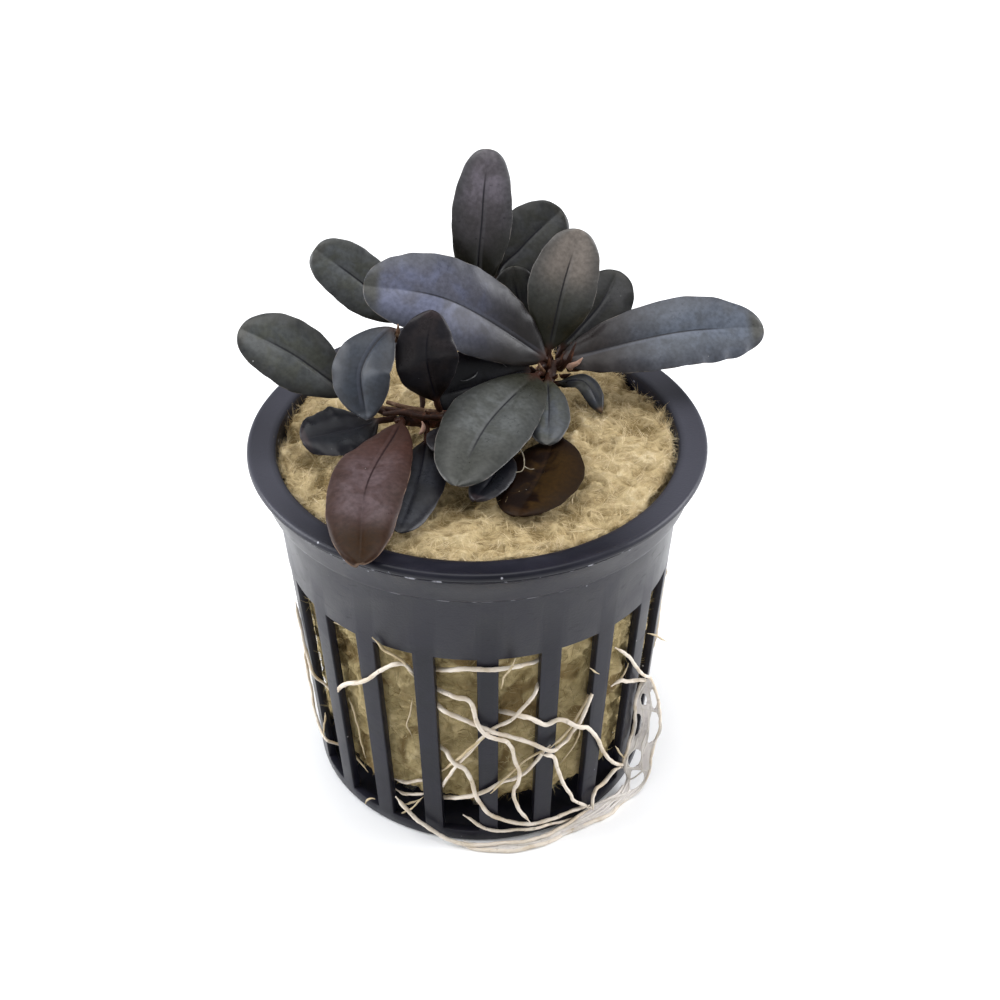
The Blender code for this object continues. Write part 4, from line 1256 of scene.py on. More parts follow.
LOOKS = {
    "leaf_upright": ("plum", {"ripple": 0.1, "point": 0.42, "fullness": 0.6}, {"Rib to": 0.9}),
    "leaf_back": ("shaded slate", {"fullness": 0.6}, {}),
    "leaf_oval": ("slate", {"ripple": 0.1, "fullness": 0.66},
                  {"Blade": (0.07, 0.072, 0.068), "Clouds": (0.05, 0.05, 0.04), "Clouding": 0.8,
                   "Shade": (0.014, 0.014, 0.008), "Shade reach": 0.65, "Tip": (0.165, 0.142, 0.124),
                   "Tip reach": 0.6}),
    "leaf_right_back": ("shaded slate", {"fullness": 0.6},
                        {"Blade": (0.022, 0.022, 0.023), "Clouds": (0.014, 0.014, 0.011)}),
    "leaf_long_right": ("blue", {"point": 0.45, "fullness": 0.53, "ripple": 0.16, "frill": (1.0, 9.0, 0.3)},
                        {"Blade": (0.085, 0.098, 0.125), "Clouds": (0.06, 0.067, 0.08), "Shade reach": 0.6}),
    "leaf_long_left": ("blue", {"point": 0.42, "fullness": 0.58, "ripple": 0.16, "frill": (1.0, 11.0, 0.12)},
                       {"Clouds": (0.075, 0.075, 0.094), "Lopsided": 0.18, "Rib from": 0.08,
                        "Shade reach": 0.75,
                        "Shade": (0.009, 0.007, 0.007)}),
    "leaf_left_back": ("slate", {"point": 0.36},
                       {"Blade": (0.07, 0.075, 0.078), "Shade": (0.012, 0.012, 0.01)}),
    "leaf_far_left": ("slate", {"groove": 0.22, "point": 0.45},
                      {"Blade": (0.056, 0.06, 0.06), "Shaded edge": (0.018, 0.018, 0.018), "Specks": 0.9,
                       "Shade": (0.012, 0.012, 0.01), "Edge shade": 0.8}),
    "leaf_arching": ("blue", {"point": 0.7, "groove": 0.2},
                     {"Blade": (0.024, 0.029, 0.039), "Clouds": (0.015, 0.017, 0.022), "Roughness": 0.45,
                      "Shaded edge": (0.024, 0.026, 0.032),
                      "Rib to": 0.95, "Shade reach": 0.2, "Tip": (0.05, 0.055, 0.066)}),
    "leaf_black": ("black", {"point": 0.6}, {}),
    "leaf_front": ("slate", {"ripple": 0.1, "point": 0.52, "cushion": 0.08, "fullness": 0.52},
                   {"Blade": (0.078, 0.082, 0.08), "Clouds": (0.046, 0.048, 0.043), "Rib from": 0.25,
                    "Specks": 0.9,
                    "Tip": (0.042, 0.043, 0.038), "Tip reach": 0.45, "Shaded edge": (0.02, 0.021, 0.019),
                    "Shade": (0.02, 0.02, 0.014), "Edge shade": 0.75}),
    "leaf_low_left": ("black", {"ripple": 0.2}, {"Blade": (0.007, 0.008, 0.011)}),
    "leaf_over_rim": ("rose", {"ripple": 0.2, "point": 0.5, "curl": 0.4, "fullness": 0.62},
                      {"Rib to": 0.7, "Rib from": 0.06}),
    "leaf_dark_front": ("black", {},
                        {"Blade": (0.021, 0.022, 0.027), "Clouds": (0.012, 0.012, 0.014),
                         "Tip": (0.014, 0.014, 0.017)}),
    "leaf_small_grey": ("slate", {"ripple": 0.08, "groove": 0.08, "fullness": 0.6},
                        {"Blade": (0.062, 0.068, 0.076), "Shaded edge": (0.026, 0.028, 0.03), "Shade reach": 0.3,
                         "Ridge highlight strength": 0.0}),
    "leaf_brown": ("brown", {"ripple": 0.1, "groove": 0.05}, {}),
    "leaf_hooked": ("shaded slate", {"ripple": 0.08, "point": 0.8, "groove": 0.07},
                    {"Blade": (0.018, 0.02, 0.025), "Tip": (0.07, 0.04, 0.02), "Tip reach": 0.12,
                     "Ridge highlight strength": 0.0}),
    "leaf_tiny_dark": ("black", {"ripple": 0.08}, {}),
    "leaf_inner_back": ("shaded slate", {"ripple": 0.08, "fullness": 0.6}, {"Blade": (0.02, 0.021, 0.022)}),
    # Near black, so that this widened leaf also stands in for the deep shade under the leaves round the
    # crown.
    "leaf_inner_left": ("black", {"ripple": 0.08, "fullness": 0.5, "point": 0.4},
                        {"Blade": (0.005, 0.005, 0.006), "Tip": (0.005, 0.005, 0.006)}),
    "leaf_under": ("black", {"ripple": 0.08}, {"Blade": (0.012, 0.013, 0.016)}),
}
LEAF_SHINE = {"slate": 0.28, "shaded slate": 0.2, "blue": 0.28, "plum": 0.28, "rose": 0.11, "black": 0.2,
              "brown": 0.08}


def grow_leaves():
    for seed, (name, sizes) in enumerate(LEAVES.items()):
        skin, shape, changes = LOOKS[name]
        slot, values = SKINS[skin]
        finish = skin_material(name + " skin", LEAF_SKIN, {**values, **changes}, 0.028, LEAF_SHINE[skin])
        hand_over(shape_leaf(name + "_blade", sizes, shape, seed), slot, finish, name, sharp_degrees=75.0)


grow_leaves()

# %% [markdown]
# Every new leaf of this plant unrolls from a papery sheath, and the dry sheaths stay round the
# crown as torn red-brown points. Each is a narrow grid, tapered, hollowed and bent a little,
# and given a wall afterwards.

# %% Add the dry sheaths
SHEATHS = (
    # foot, tip, width and finish
    ((10.3, 9.0, 50.5), (12.2, 9.0, 54.8), 0.9, "red"), ((9.8, 9.2, 50.8), (10.6, 8.8, 53.4), 0.8, "red"),
    ((11.2, 8.5, 51.2), (13.0, 8.2, 53.0), 1.0, "pink"), ((9.0, 8.9, 50.6), (8.8, 8.5, 53.2), 0.8, "red"),
    ((7.6, 8.7, 50.2), (6.6, 8.2, 51.9), 0.8, "red"), ((8.4, 8.7, 50.2), (7.4, 8.1, 52.7), 0.6, "tan"),
    ((6.9, 8.4, 50.0), (7.8, 8.4, 52.4), 0.4, "tan"), ((11.2, 9.8, 50.2), (14.4, 9.9, 51.4), 0.7, "red"),
    ((9.2, 8.3, 50.0), (9.9, 7.4, 51.2), 1.0, "red"), ((8.2, 8.1, 49.8), (8.0, 7.1, 50.6), 1.0, "red"),
    ((10.4, 8.6, 49.9), (11.6, 8.0, 50.9), 0.9, "red"), ((9.2, 10.4, 51.0), (8.3, 10.4, 54.2), 0.9, "red"),
    ((10.0, 10.4, 50.8), (11.8, 11.0, 53.6), 0.9, "red"), ((-9.1, 1.0, 59.6), (-9.0, 1.0, 62.1), 0.9, "tan"),
    ((-5.4, 0.8, 49.6), (-6.2, -0.2, 51.0), 0.7, "red"), ((-7.6, 1.0, 49.6), (-9.2, 0.2, 50.8), 0.7, "red"),
    ((-6.2, -0.9, 49.2), (-6.9, -3.0, 49.6), 1.5, "pink"),
    ((-9.6, 1.4, 49.6), (-12.0, 1.6, 51.0), 0.6, "tan"),
)


SHEATH_WALL = 0.09


def grow_sheath(name, foot, tip, width, seed):
    random = np.random.default_rng(seed)
    rows, columns = 14, 7
    reach = np.array(tip) - np.array(foot)
    ahead = unit(reach)
    aside = unit(np.cross(ahead, np.array([0.3, -1.0, 0.2])))
    over = np.cross(aside, ahead)
    share = np.linspace(0.0, 1.0, rows)[:, None]
    a = np.linspace(-1.0, 1.0, columns)[None]
    half = 0.5 * width * (1.0 - share ** 1.8) + 0.03
    ragged = 1.0 + 0.2 * np.sin(9.0 * share + random.uniform(0, 6)) * np.sign(a)
    curl = 0.6 * half * (a ** 2) - random.uniform(0.1, 0.22) * np.sin(math.pi * share) * np.linalg.norm(reach)
    solid = (np.array(foot) + ahead * (share * np.linalg.norm(reach))[..., None]
             + aside * (a * half * ragged)[..., None] - over * curl[..., None])
    sheath = grid_piece(name, solid)
    wall = sheath.modifiers.new("wall", "SOLIDIFY")
    wall.thickness = SHEATH_WALL * MM
    wall.offset = 0.0
    subdivide_once(sheath)
    apply_modifiers(sheath)
    return sheath


SHEATH_SKINS = {
    "red": skin_material("red sheath", BARK,
                         {"Bark": (0.026, 0.008, 0.004), "Light": (0.11, 0.042, 0.02)}, 0.05, 0.3),
    "tan": skin_material("tan sheath", BARK,
                         {"Bark": (0.1, 0.05, 0.026), "Light": (0.28, 0.18, 0.11)}, 0.05, 0.3),
    "pink": skin_material("pink sheath", BARK,
                          {"Bark": (0.5, 0.3, 0.22), "Light": (0.6, 0.42, 0.34)}, 0.05, 0.4),
}
for number, (foot, tip, width, skin) in enumerate(SHEATHS):
    made = grow_sheath(f"sheath_{number + 1:02d}", foot, tip, width, number)
    hand_over(made, "red_stem", SHEATH_SKINS[skin])

# %% [markdown]
# Thin things bind the crown together: leaf stalks along the side shoot, curly grey threads and
# a pale rootlet with a hook. The threads are about a tenth of a millimetre in radius and the
# stalks about half a millimetre. One thicker tube stands in for a bundle of stalks.

# %% Add threads and thin stalks
THREADS = {
    "stalk_bundle": ("red", 0.8, ((8.6, 6.6, 48.8), (8.9, 7.6, 49.8), (9.3, 8.6, 50.9), (9.6, 9.4, 51.9))),
    "stalk_shoot_upper": ("tan", 0.42,
                          ((-4.1, 0.8, 49.9), (-6.4, 0.8, 50.3), (-8.6, 0.9, 50.8), (-10.8, 1.6, 51.1))),
    "stalk_shoot_middle": ("red", 0.5,
                           ((-4.2, 0.3, 49.7), (-6.6, 0.0, 50.1), (-9.0, 0.2, 50.5), (-11.2, 0.4, 50.2))),
    "stalk_shoot_lower": ("red", 0.48,
                          ((-4.4, 0.4, 49.8), (-6.6, 0.3, 50.1), (-8.6, 0.4, 50.5), (-10.9, 1.0, 50.6))),
    "thread_loop": ("grey", 0.1, ((0.6, 9.4, 52.2), (-1.3, 8.3, 52.5), (-2.6, 6.5, 52.5), (-1.8, 4.1, 52.4),
                                  (-0.2, 4.6, 52.8), (0.2, 6.9, 53.0), (-0.3, 9.3, 52.9), (-1.3, 8.3, 52.2))),
    "thread_cross": ("grey", 0.08,
                     ((-3.2, 4.2, 52.0), (-1.6, 4.8, 52.6), (0.4, 6.0, 52.8), (1.8, 7.9, 52.7))),
    "thread_right": ("grey", 0.07, ((1.2, 9.0, 53.0), (2.4, 7.6, 53.3), (3.6, 6.6, 52.8))),
    "rootlet_hook": ("pale", 0.09,
                     ((4.6, -5.6, 49.6), (5.2, -7.4, 49.5), (5.3, -9.2, 49.3), (5.0, -10.3, 49.2),
                                    (4.3, -10.6, 49.2))),
    "rootlet_fork": ("pale", 0.07, ((5.3, -9.6, 49.3), (5.9, -10.0, 49.2), (6.4, -9.8, 49.1))),
}
THREAD_SKINS = {
    "red": SHEATH_SKINS["red"], "tan": SHEATH_SKINS["tan"],
    "grey": skin_material("grey thread", BARK,
                          {"Bark": (0.03, 0.03, 0.032), "Light": (0.11, 0.11, 0.11)}, 0.02, 0.3),
    "pale": skin_material("pale thread", BARK,
                          {"Bark": (0.2, 0.17, 0.12), "Light": (0.42, 0.38, 0.3)}, 0.02, 0.3),
}


def spin_threads():
    for name, (skin, radius, course) in THREADS.items():
        places = smooth_path(course, 0.15)
        taper = 1.0 - 0.4 * np.linspace(0.0, 1.0, len(places))
        hand_over(tube(name, places, radius * taper, sides=2), "red_stem", THREAD_SKINS[skin])


spin_threads()

# %% [markdown]
# The roots lie on the pot like loose string. Each is a tapering tube with small kinks, along a
# course on the wall: azimuth in degrees from the front, growing to the right, and height in
# millimetres. Where two cross, the later one is lifted over the earlier one, which is worked
# out on the unrolled wall. An end that goes in dives through a slot and runs on behind a rib.

# %% Courses of the roots on the wall
FOOT_RADIUS = 21.9
SHOULDER_RADIUS = 24.6
SHOULDER_HEIGHT = 42.4
ON_WALL = 0.3
IN_SLOT = -1.3
WALL_ROOTS = {
    # radius, lift from the wall, how it starts, how it ends, and its course
    "root_front_back": (0.22, ON_WALL, "in", "in", (
        (16.4, 28.4), (14.6, 26.3), (11.2, 23.9), (8.4, 22.6), (4.6, 21.8), (0.8, 20.2), (-2.8, 18.0),
        (-6.4, 15.7), (-10.3, 12.5), (-12.0, 10.7))),
    "rootlet_back_twin": (0.16, ON_WALL, "out", "in",
                          ((0.8, 20.2), (-3.6, 18.3), (-8.1, 15.6), (-12.1, 13.5))),
    "root_rising": (0.25, ON_WALL, "in", "out", (
        (-12.3, 8.4), (-10.0, 8.6), (-6.9, 8.9), (-3.1, 9.2), (1.2, 10.2), (5.7, 11.6), (10.0, 12.0),
        (13.1, 12.8), (16.1, 14.3), (18.6, 15.8), (20.8, 16.9))),
    "rootlet_rising_twin": (0.15, ON_WALL, "out", "out", (
        (2.5, 10.1), (5.7, 11.9), (8.7, 13.0), (12.9, 15.1), (17.9, 16.4), (21.0, 16.9))),
    "rootlet_cross_twin": (0.16, ON_WALL, "out", "in", (
        (20.4, 17.0), (24.2, 17.7), (28.0, 19.1), (30.5, 21.1), (33.3, 23.3))),
    "root_front_low": (0.26, ON_WALL, "in", "out", (
        (-12.7, 18.0), (-10.5, 17.3), (-8.5, 15.9), (-5.9, 14.8), (-4.4, 13.6), (-3.1, 12.1), (-2.2, 10.4),
        (-1.3, 8.5), (1.2, 6.3), (5.8, 4.6), (11.0, 3.4), (16.5, 2.5), (22.8, 2.4), (31.2, 2.2),
        (38.6, 1.4))),
    "root_front_cross": (0.26, ON_WALL, "in", "in", (
        (-12.3, 25.7), (-9.9, 24.2), (-6.0, 23.3), (-1.5, 22.3), (2.5, 21.5), (7.3, 20.1), (12.1, 18.8),
        (16.5, 17.5), (20.4, 16.6), (23.7, 16.6), (26.7, 16.9), (28.9, 18.6), (30.6, 20.4), (32.4, 22.5),
        (33.9, 23.8))),
    "root_front_main": (0.26, ON_WALL, "in", "out", (
        (-12.1, 28.1), (-9.3, 27.4), (-6.9, 26.7), (-3.8, 26.5), (-2.2, 25.1), (-1.2, 23.1), (0.8, 21.6),
        (3.7, 20.4), (6.7, 19.6), (8.5, 18.0), (9.8, 15.7), (11.2, 13.4), (10.9, 11.5), (9.7, 10.1),
        (10.1, 8.1), (12.2, 5.6), (15.0, 3.3))),
    "root_right_fall": (0.27, ON_WALL, "in", "out", (
        (5.5, 24.6), (9.5, 23.8), (13.7, 22.7), (16.8, 21.4), (19.3, 20.7), (23.1, 20.8), (27.3, 19.8),
        (31.9, 18.1), (35.2, 16.4), (38.2, 14.2), (41.7, 10.9), (47.7, 6.9), (52.8, 4.8), (58.8, 2.6))),
    "root_right_low": (0.24, ON_WALL, "out", "out", (
        (17.2, 16.4), (20.5, 15.3), (22.7, 14.0), (24.0, 11.9), (25.4, 9.7), (27.6, 7.6), (29.7, 5.7),
        (31.4, 4.2), (34.1, 3.0), (38.1, 1.4))),
    "root_front_high": (0.27, ON_WALL, "in", "in", (
        (-12.0, 31.5), (-8.8, 31.4), (-5.5, 31.4), (-0.1, 31.5), (4.7, 31.5), (9.3, 31.6), (13.4, 31.8),
        (16.1, 32.4))),
    "rootlet_front_high": (0.13, 0.35, "out", "out", ((9.4, 33.0), (7.6, 31.2), (6.2, 30.1), (5.7, 28.3))),
    "rootlet_high_spur": (0.08, 0.6, "out", "out", ((7.4, 31.2), (8.6, 32.1), (10.3, 32.2))),
    "root_left_long": (0.26, ON_WALL, "out", "in", (
        (-47.9, 20.5), (-45.7, 22.0), (-41.7, 23.5), (-37.8, 24.7), (-33.8, 26.3), (-29.8, 28.3),
        (-25.6, 30.0), (-22.4, 30.9), (-20.3, 30.9), (-19.1, 30.2))),
    "root_left_loose": (0.17, ON_WALL, "out", "in", (
        (-30.4, 33.8), (-28.6, 33.2), (-27.5, 32.4), (-25.8, 32.1), (-23.4, 32.0), (-21.1, 31.7),
        (-19.5, 30.8))),
    "root_left_low": (0.22, IN_SLOT, "out", "out", (
        (-32.0, 7.2), (-28.9, 7.4), (-25.9, 7.8), (-21.9, 8.8), (-18.0, 9.5))),
    "rootlet_left_lower": (0.2, IN_SLOT, "out", "out", (
        (-32.0, 5.4), (-29.5, 5.1), (-26.4, 5.4), (-22.3, 6.0), (-18.5, 6.8))),
    "rootlet_left_short": (0.16, IN_SLOT, "out", "out", ((-28.7, 3.0), (-25.9, 3.7), (-22.1, 5.1))),
    "rootlet_left_rising": (0.12, -0.6, "out", "out", (
        (-30.6, 0.8), (-27.6, 2.3), (-24.5, 3.7), (-22.0, 5.2), (-19.7, 6.6))),
    "rootlet_left_foot": (0.15, ON_WALL, "out", "out",
                          ((-43.0, 1.0), (-41.6, 2.1), (-39.4, 3.2), (-37.6, 3.5))),
    "rootlet_slot_top": (0.12, -0.2, "out", "out", ((-46.3, 32.1), (-42.7, 32.7), (-38.5, 32.9))),
    "rootlet_hook": (0.13, -0.9, "out", "out", ((-53.1, 24.4), (-49.7, 24.8), (-50.2, 23.7), (-53.4, 22.0))),
    "rootlet_inner_left": (0.13, IN_SLOT, "out", "out", (
        (-53.6, 10.2), (-52.1, 8.4), (-49.7, 7.0), (-46.3, 6.3), (-43.8, 5.7))),
    "rootlet_inner_fall": (0.12, IN_SLOT, "out", "out", (
        (-48.6, 18.0), (-46.9, 16.0), (-45.6, 12.0), (-44.1, 8.3))),
    "rootlet_slot_thin": (0.1, IN_SLOT, "out", "out", (
        (-21.7, 23.7), (-22.4, 21.5), (-24.3, 18.8), (-23.5, 17.5), (-22.6, 16.5))),
    "root_left_side": (0.2, ON_WALL, "out", "in", (
        (-71.5, 28.0), (-70.0, 25.0), (-68.2, 22.0), (-66.3, 19.3), (-62.8, 17.7), (-59.0, 16.8))),
    "root_left_edge": (0.2, ON_WALL, "in", "in", (
        (-84.0, 17.0), (-82.0, 12.5), (-76.0, 8.5), (-68.0, 6.6), (-61.0, 6.6), (-56.1, 7.1))),
    "rootlet_left_edge": (0.12, ON_WALL, "out", "out",
                          ((-58.4, 13.4), (-60.8, 11.2), (-63.6, 8.7), (-64.5, 6.7))),
    "root_back_left": (0.25, ON_WALL, "in", "out",
                       ((-117.0, 27.5), (-128.0, 22.0), (-133.0, 13.0), (-146.0, 5.0))),
    "root_back_high": (0.25, ON_WALL, "in", "in",
                       ((152.0, 30.0), (163.0, 27.5), (176.0, 29.5), (188.0, 26.0))),
    "root_back_low": (0.25, ON_WALL, "in", "in", ((209.0, 15.5), (196.0, 11.0), (184.0, 12.5), (172.5, 7.0))),
    "root_back_right": (0.25, ON_WALL, "in", "out",
                        ((101.0, 24.0), (112.0, 19.0), (121.0, 10.0), (133.0, 4.6))),
    "root_far_right": (0.25, ON_WALL, "in", "out", ((83.0, 29.0), (90.0, 24.0), (87.0, 16.0), (96.0, 8.0))),
    "rootlet_right_thin": (0.11, -0.9, "out", "out", (
        (33.7, 16.4), (33.3, 14.7), (31.3, 13.3), (27.9, 11.9), (26.2, 11.1))),
    "rootlet_right_short": (0.12, ON_WALL, "out", "out", ((32.3, 27.9), (36.3, 26.0))),
    "rootlet_right_spike": (0.13, ON_WALL, "out", "out", ((48.7, 24.4), (47.0, 23.0), (44.0, 21.8))),
    "rootlet_right_tan": (0.12, ON_WALL, "out", "out", ((47.9, 9.9), (51.7, 7.3), (56.3, 4.4))),
    "rootlet_right_back": (0.26, ON_WALL, "out", "out", (
        (51.6, 4.9), (48.6, 5.0), (46.4, 4.1), (43.5, 3.9), (40.6, 4.0), (38.5, 3.4), (37.8, 2.5),
        (38.0, 1.4))),
    "rootlet_foot": (0.2, ON_WALL, "out", "out", (
        (-6.1, 5.5), (-3.3, 4.4), (1.1, 2.8), (7.1, 2.1), (13.8, 2.1), (19.3, 2.1), (26.7, 1.0),
        (33.2, 0.5))),
}
print("roots on the wall:", len(WALL_ROOTS))

# %% [markdown]
# Laying a root is a small sum. Its course is unrolled flat, checked against the roots that lie
# there already, and lifted where it is near one. The lift falls off gently to both sides, as a
# stiff thread does, and an end that goes in sinks over its last few millimetres.

# %% Lay a root on the wall
ROOT_STEP = 0.32
RUN_ON_DEGREES = 3.0
DIVE_LENGTH = 4.6
DIVE_DEPTH = 2.1
DIVE_DROP = 1.12
NOT_LIFTED = -9.0
LAID = []


def wall_radius(height):
    return FOOT_RADIUS + (SHOULDER_RADIUS - FOOT_RADIUS) * height / SHOULDER_HEIGHT


def round_the_pot(azimuth, radius, height):
    turn = math.radians(azimuth)
    return (radius * math.sin(turn), -radius * math.cos(turn), height)


def run_on(before, last):
    """A point a little further the same way, behind the rib."""
    step = math.copysign(RUN_ON_DEGREES, last[0] - before[0])
    slope = (last[1] - before[1]) / (last[0] - before[0])
    return (last[0] + step, last[1] + np.clip(slope, -0.5, 0.5) * step)


def lift_over(route, radius, lift):
    """How far a root lies off the wall at each point, over the roots laid before it."""
    lifts = np.full(len(route), lift)
    for other, other_lifts, other_radius in LAID:
        apart = np.linalg.norm(route[:, None] - other[None], axis=2)
        near = (apart < 1.3 * (radius + other_radius)) & (other_lifts[None] > lift - 0.4)
        needed = np.where(near, other_lifts[None] + 0.9 * (other_radius + radius), NOT_LIFTED)
        lifts = np.maximum(lifts, needed.max(1))
    for order in (range(1, len(lifts)), range(len(lifts) - 2, -1, -1)):
        for number in order:
            beside = number - order.step
            lifts[number] = max(lifts[number], lifts[beside] - 0.5 * ROOT_STEP)
    return evened(lifts)


def dives(route, start, end):
    reach = distance_along(route)
    depth = np.zeros(len(route))
    for goes_in, distance in ((start == "in", reach), (end == "in", reach[-1] - reach)):
        if goes_in:
            share = np.clip(1.0 - distance / DIVE_LENGTH, 0.0, 1.0)
            depth = np.maximum(depth, DIVE_DEPTH * share * share * (3 - 2 * share))
    return depth


def lay_on_wall(radius, lift, start, end, course):
    """Places in mm along a course on the wall."""
    course = list(course)
    if start == "in":
        course.insert(0, run_on(course[1], course[0]))
    if end == "in":
        course.append(run_on(course[-2], course[-1]))
    flat = [(math.radians(azimuth) * wall_radius(height), height) for azimuth, height in course]
    route = smooth_path(flat, ROOT_STEP)
    lifts = lift_over(route, radius, lift)
    LAID.append((route, lifts, radius))
    places = []
    for (x, z), off, sink in zip(route, lifts, dives(route, start, end)):
        azimuth = math.degrees(x / wall_radius(z)) * (1.0 + 0.06 * sink)
        low = z - DIVE_DROP * sink
        places.append(round_the_pot(azimuth, wall_radius(low) + off - sink, low))
    return places


KINK_SEED = 4
noise.seed_set(KINK_SEED)        # without a seed, noise_vector starts from the clock


def kinked(places, amount, seed):
    """Small bends, slow and quick; a root never runs as true as a wire."""
    shifts = []
    for place in places:
        slow = noise.noise_vector(Vector(place) / 2.6 + Vector((seed * 7.3, 0.0, 0.0)))
        quick = noise.noise_vector(Vector(place) / 0.8 + Vector((0.0, seed * 3.1, 0.0)))
        shifts.append(slow * amount + quick * 0.3 * amount)
    return np.array(places) + np.array(shifts)


def root_group():
    group, given, out = new_group("Root skin", (
        ("Cream", COLOUR, (0.74, 0.66, 0.56, 1.0)), ("Tan", COLOUR, (0.44, 0.33, 0.19, 1.0)),
        ("Tanning", NUMBER, 0.6)), SKIN_OUTPUTS)
    place = object_place(group)
    broad = cloudy(group, place, 2.4, 3.0)
    fine = cloudy(group, place, 0.25, 3.0)
    aged = times(group, fade(group, broad, 0.42, 0.7), given["Tanning"])
    tone = blend_colours(group, aged, given["Cream"], given["Tan"])
    dirt = fade(group, cloudy(group, place, 0.7, 3.0), 0.6, 0.75, 0.0, 0.45)
    plug(group, blend_colours(group, dirt, tone, (0.22, 0.16, 0.08)), out["Colour"])
    plug(group, fade(group, fine, 0.2, 0.8, 0.5, 0.7), out["Roughness"])
    plug(group, fine, out["Height"])
    return group


ROOT_SKIN = root_group()
cream_root = skin_material("cream root", ROOT_SKIN, {}, 0.05, shine=0.35)
thin_root = skin_material("thin root", ROOT_SKIN,
                          {"Cream": (0.56, 0.46, 0.3), "Tan": (0.36, 0.26, 0.12)}, 0.03, 0.3)


def grow_root(name, places, radius, seed):
    """A knobbly tapering tube; it replaces the solid of the same name where there is one."""
    share = np.linspace(0.0, 1.0, len(places))
    steps = np.arange(len(places))
    knobs = 1.0 + 0.07 * np.sin(0.9 * steps + seed) + 0.05 * np.sin(2.3 * steps)
    ends = np.clip(np.minimum(share, 1.0 - share) * len(places) / 4.0, 0.35, 1.0)
    strand = tube(name + "_strand", places, radius * (1.12 - 0.22 * share) * knobs * ends, sides=2)
    nodes = [name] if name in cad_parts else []
    hand_over(strand, "cream_root", cream_root if radius > 0.17 else thin_root, *nodes, sharp_degrees=80.0)


def grow_wall_roots():
    for seed, (name, (radius, lift, start, end, course)) in enumerate(WALL_ROOTS.items()):
        grow_root(name, kinked(lay_on_wall(radius, lift, start, end, course), 0.16, seed), radius, seed)


grow_wall_roots()

# %% [markdown]
# At the right the roots have grown together into a mat: a wet film with holes, stretched over
# a bundle of strands that runs down the wall and on round the foot. Its two edges are given
# station by station. A grid gives the film, the faces of the holes are deleted from it, and
# its points are then placed between the two edges.

# %% Stretch the root mat
MAT_STATIONS = (
    # inner edge and outer edge
    ((20.5, -12.9, 19.0), (20.9, -13.4, 19.7)), ((20.0, -12.2, 17.1), (21.8, -13.0, 17.4)),
    ((19.5, -12.7, 15.4), (22.4, -12.8, 15.1)), ((19.6, -12.2, 12.3), (22.8, -12.5, 12.3)),
    ((19.7, -11.8, 9.6), (23.0, -12.1, 9.4)), ((19.1, -12.6, 7.6), (22.4, -12.6, 7.7)),
    ((18.7, -12.8, 5.7), (22.0, -12.9, 5.5)), ((18.4, -13.0, 3.5), (22.1, -12.7, 3.1)),
    ((19.0, -12.8, 1.2), (21.5, -13.5, 1.3)), ((17.7, -15.2, 1.2), (20.3, -14.6, 0.6)),
    ((16.0, -16.6, 1.6), (18.2, -15.9, 0.35)), ((13.9, -17.6, 1.2), (16.3, -18.1, 0.3)),
    ((12.0, -19.0, 1.0), (14.1, -19.4, 0.3)), ((10.2, -20.2, 0.8), (11.4, -20.7, 0.3)),
    ((8.3, -21.3, 0.7), (8.8, -22.2, 0.3)), ((6.3, -22.3, 0.65), (6.5, -23.1, 0.3)),
    ((4.1, -22.9, 0.65), (4.1, -23.7, 0.3)), ((1.9, -22.9, 0.65), (1.9, -23.6, 0.3)),
    ((-0.3, -22.8, 0.65), (-0.3, -23.4, 0.3)), ((-2.4, -22.3, 0.7), (-2.6, -22.8, 0.35)),
)
MAT_HOLES = (
    # station, share across, half length in stations, half width as a share
    (1.75, 0.8, 0.72, 0.17), (3.8, 0.78, 1.2, 0.2), (6.25, 0.36, 0.72, 0.28), (7.95, 0.52, 0.8, 0.3),
    (1.9, 0.33, 0.45, 0.13), (3.7, 0.13, 0.85, 0.12), (10.3, 0.7, 0.3, 0.06),
)
MAT_PARTS = 10
MAT_ACROSS = 28
FILM_WALL = 0.14


def outward(places):
    """Level directions away from the pot's axis."""
    return unit(places * np.array([1.0, 1.0, 0.0]))


def mat_place(station, share):
    """A place in the film, in mm; station and share are arrays of the same length."""
    spots = np.clip(station, 0.0, len(MAT_STATIONS) - 1.0) * PATH_PARTS
    numbers = np.arange(len(MAT_INNER))
    inner = read_along(MAT_INNER, spots, numbers)
    outer = read_along(MAT_OUTER, spots, numbers)
    place = inner + (outer - inner) * share[..., None]
    wrinkle = np.sin(17.0 * share + 1.5 * np.sin(station)) * 0.03 + np.sin(2.1 * station + 6.0 * share) * 0.1
    return place + outward(place) * wrinkle[..., None]


MAT_INNER = curve_through([inner for inner, _ in MAT_STATIONS])
MAT_OUTER = curve_through([outer for _, outer in MAT_STATIONS])


def in_mat_hole(station, share, grow=1.0):
    inside = False
    for hole_station, hole_share, long, wide in MAT_HOLES:
        off = ((station - hole_station) / (long * grow)) ** 2 + ((share - hole_share) / (wide * grow)) ** 2
        inside = inside | (off < 1.0)
    return inside


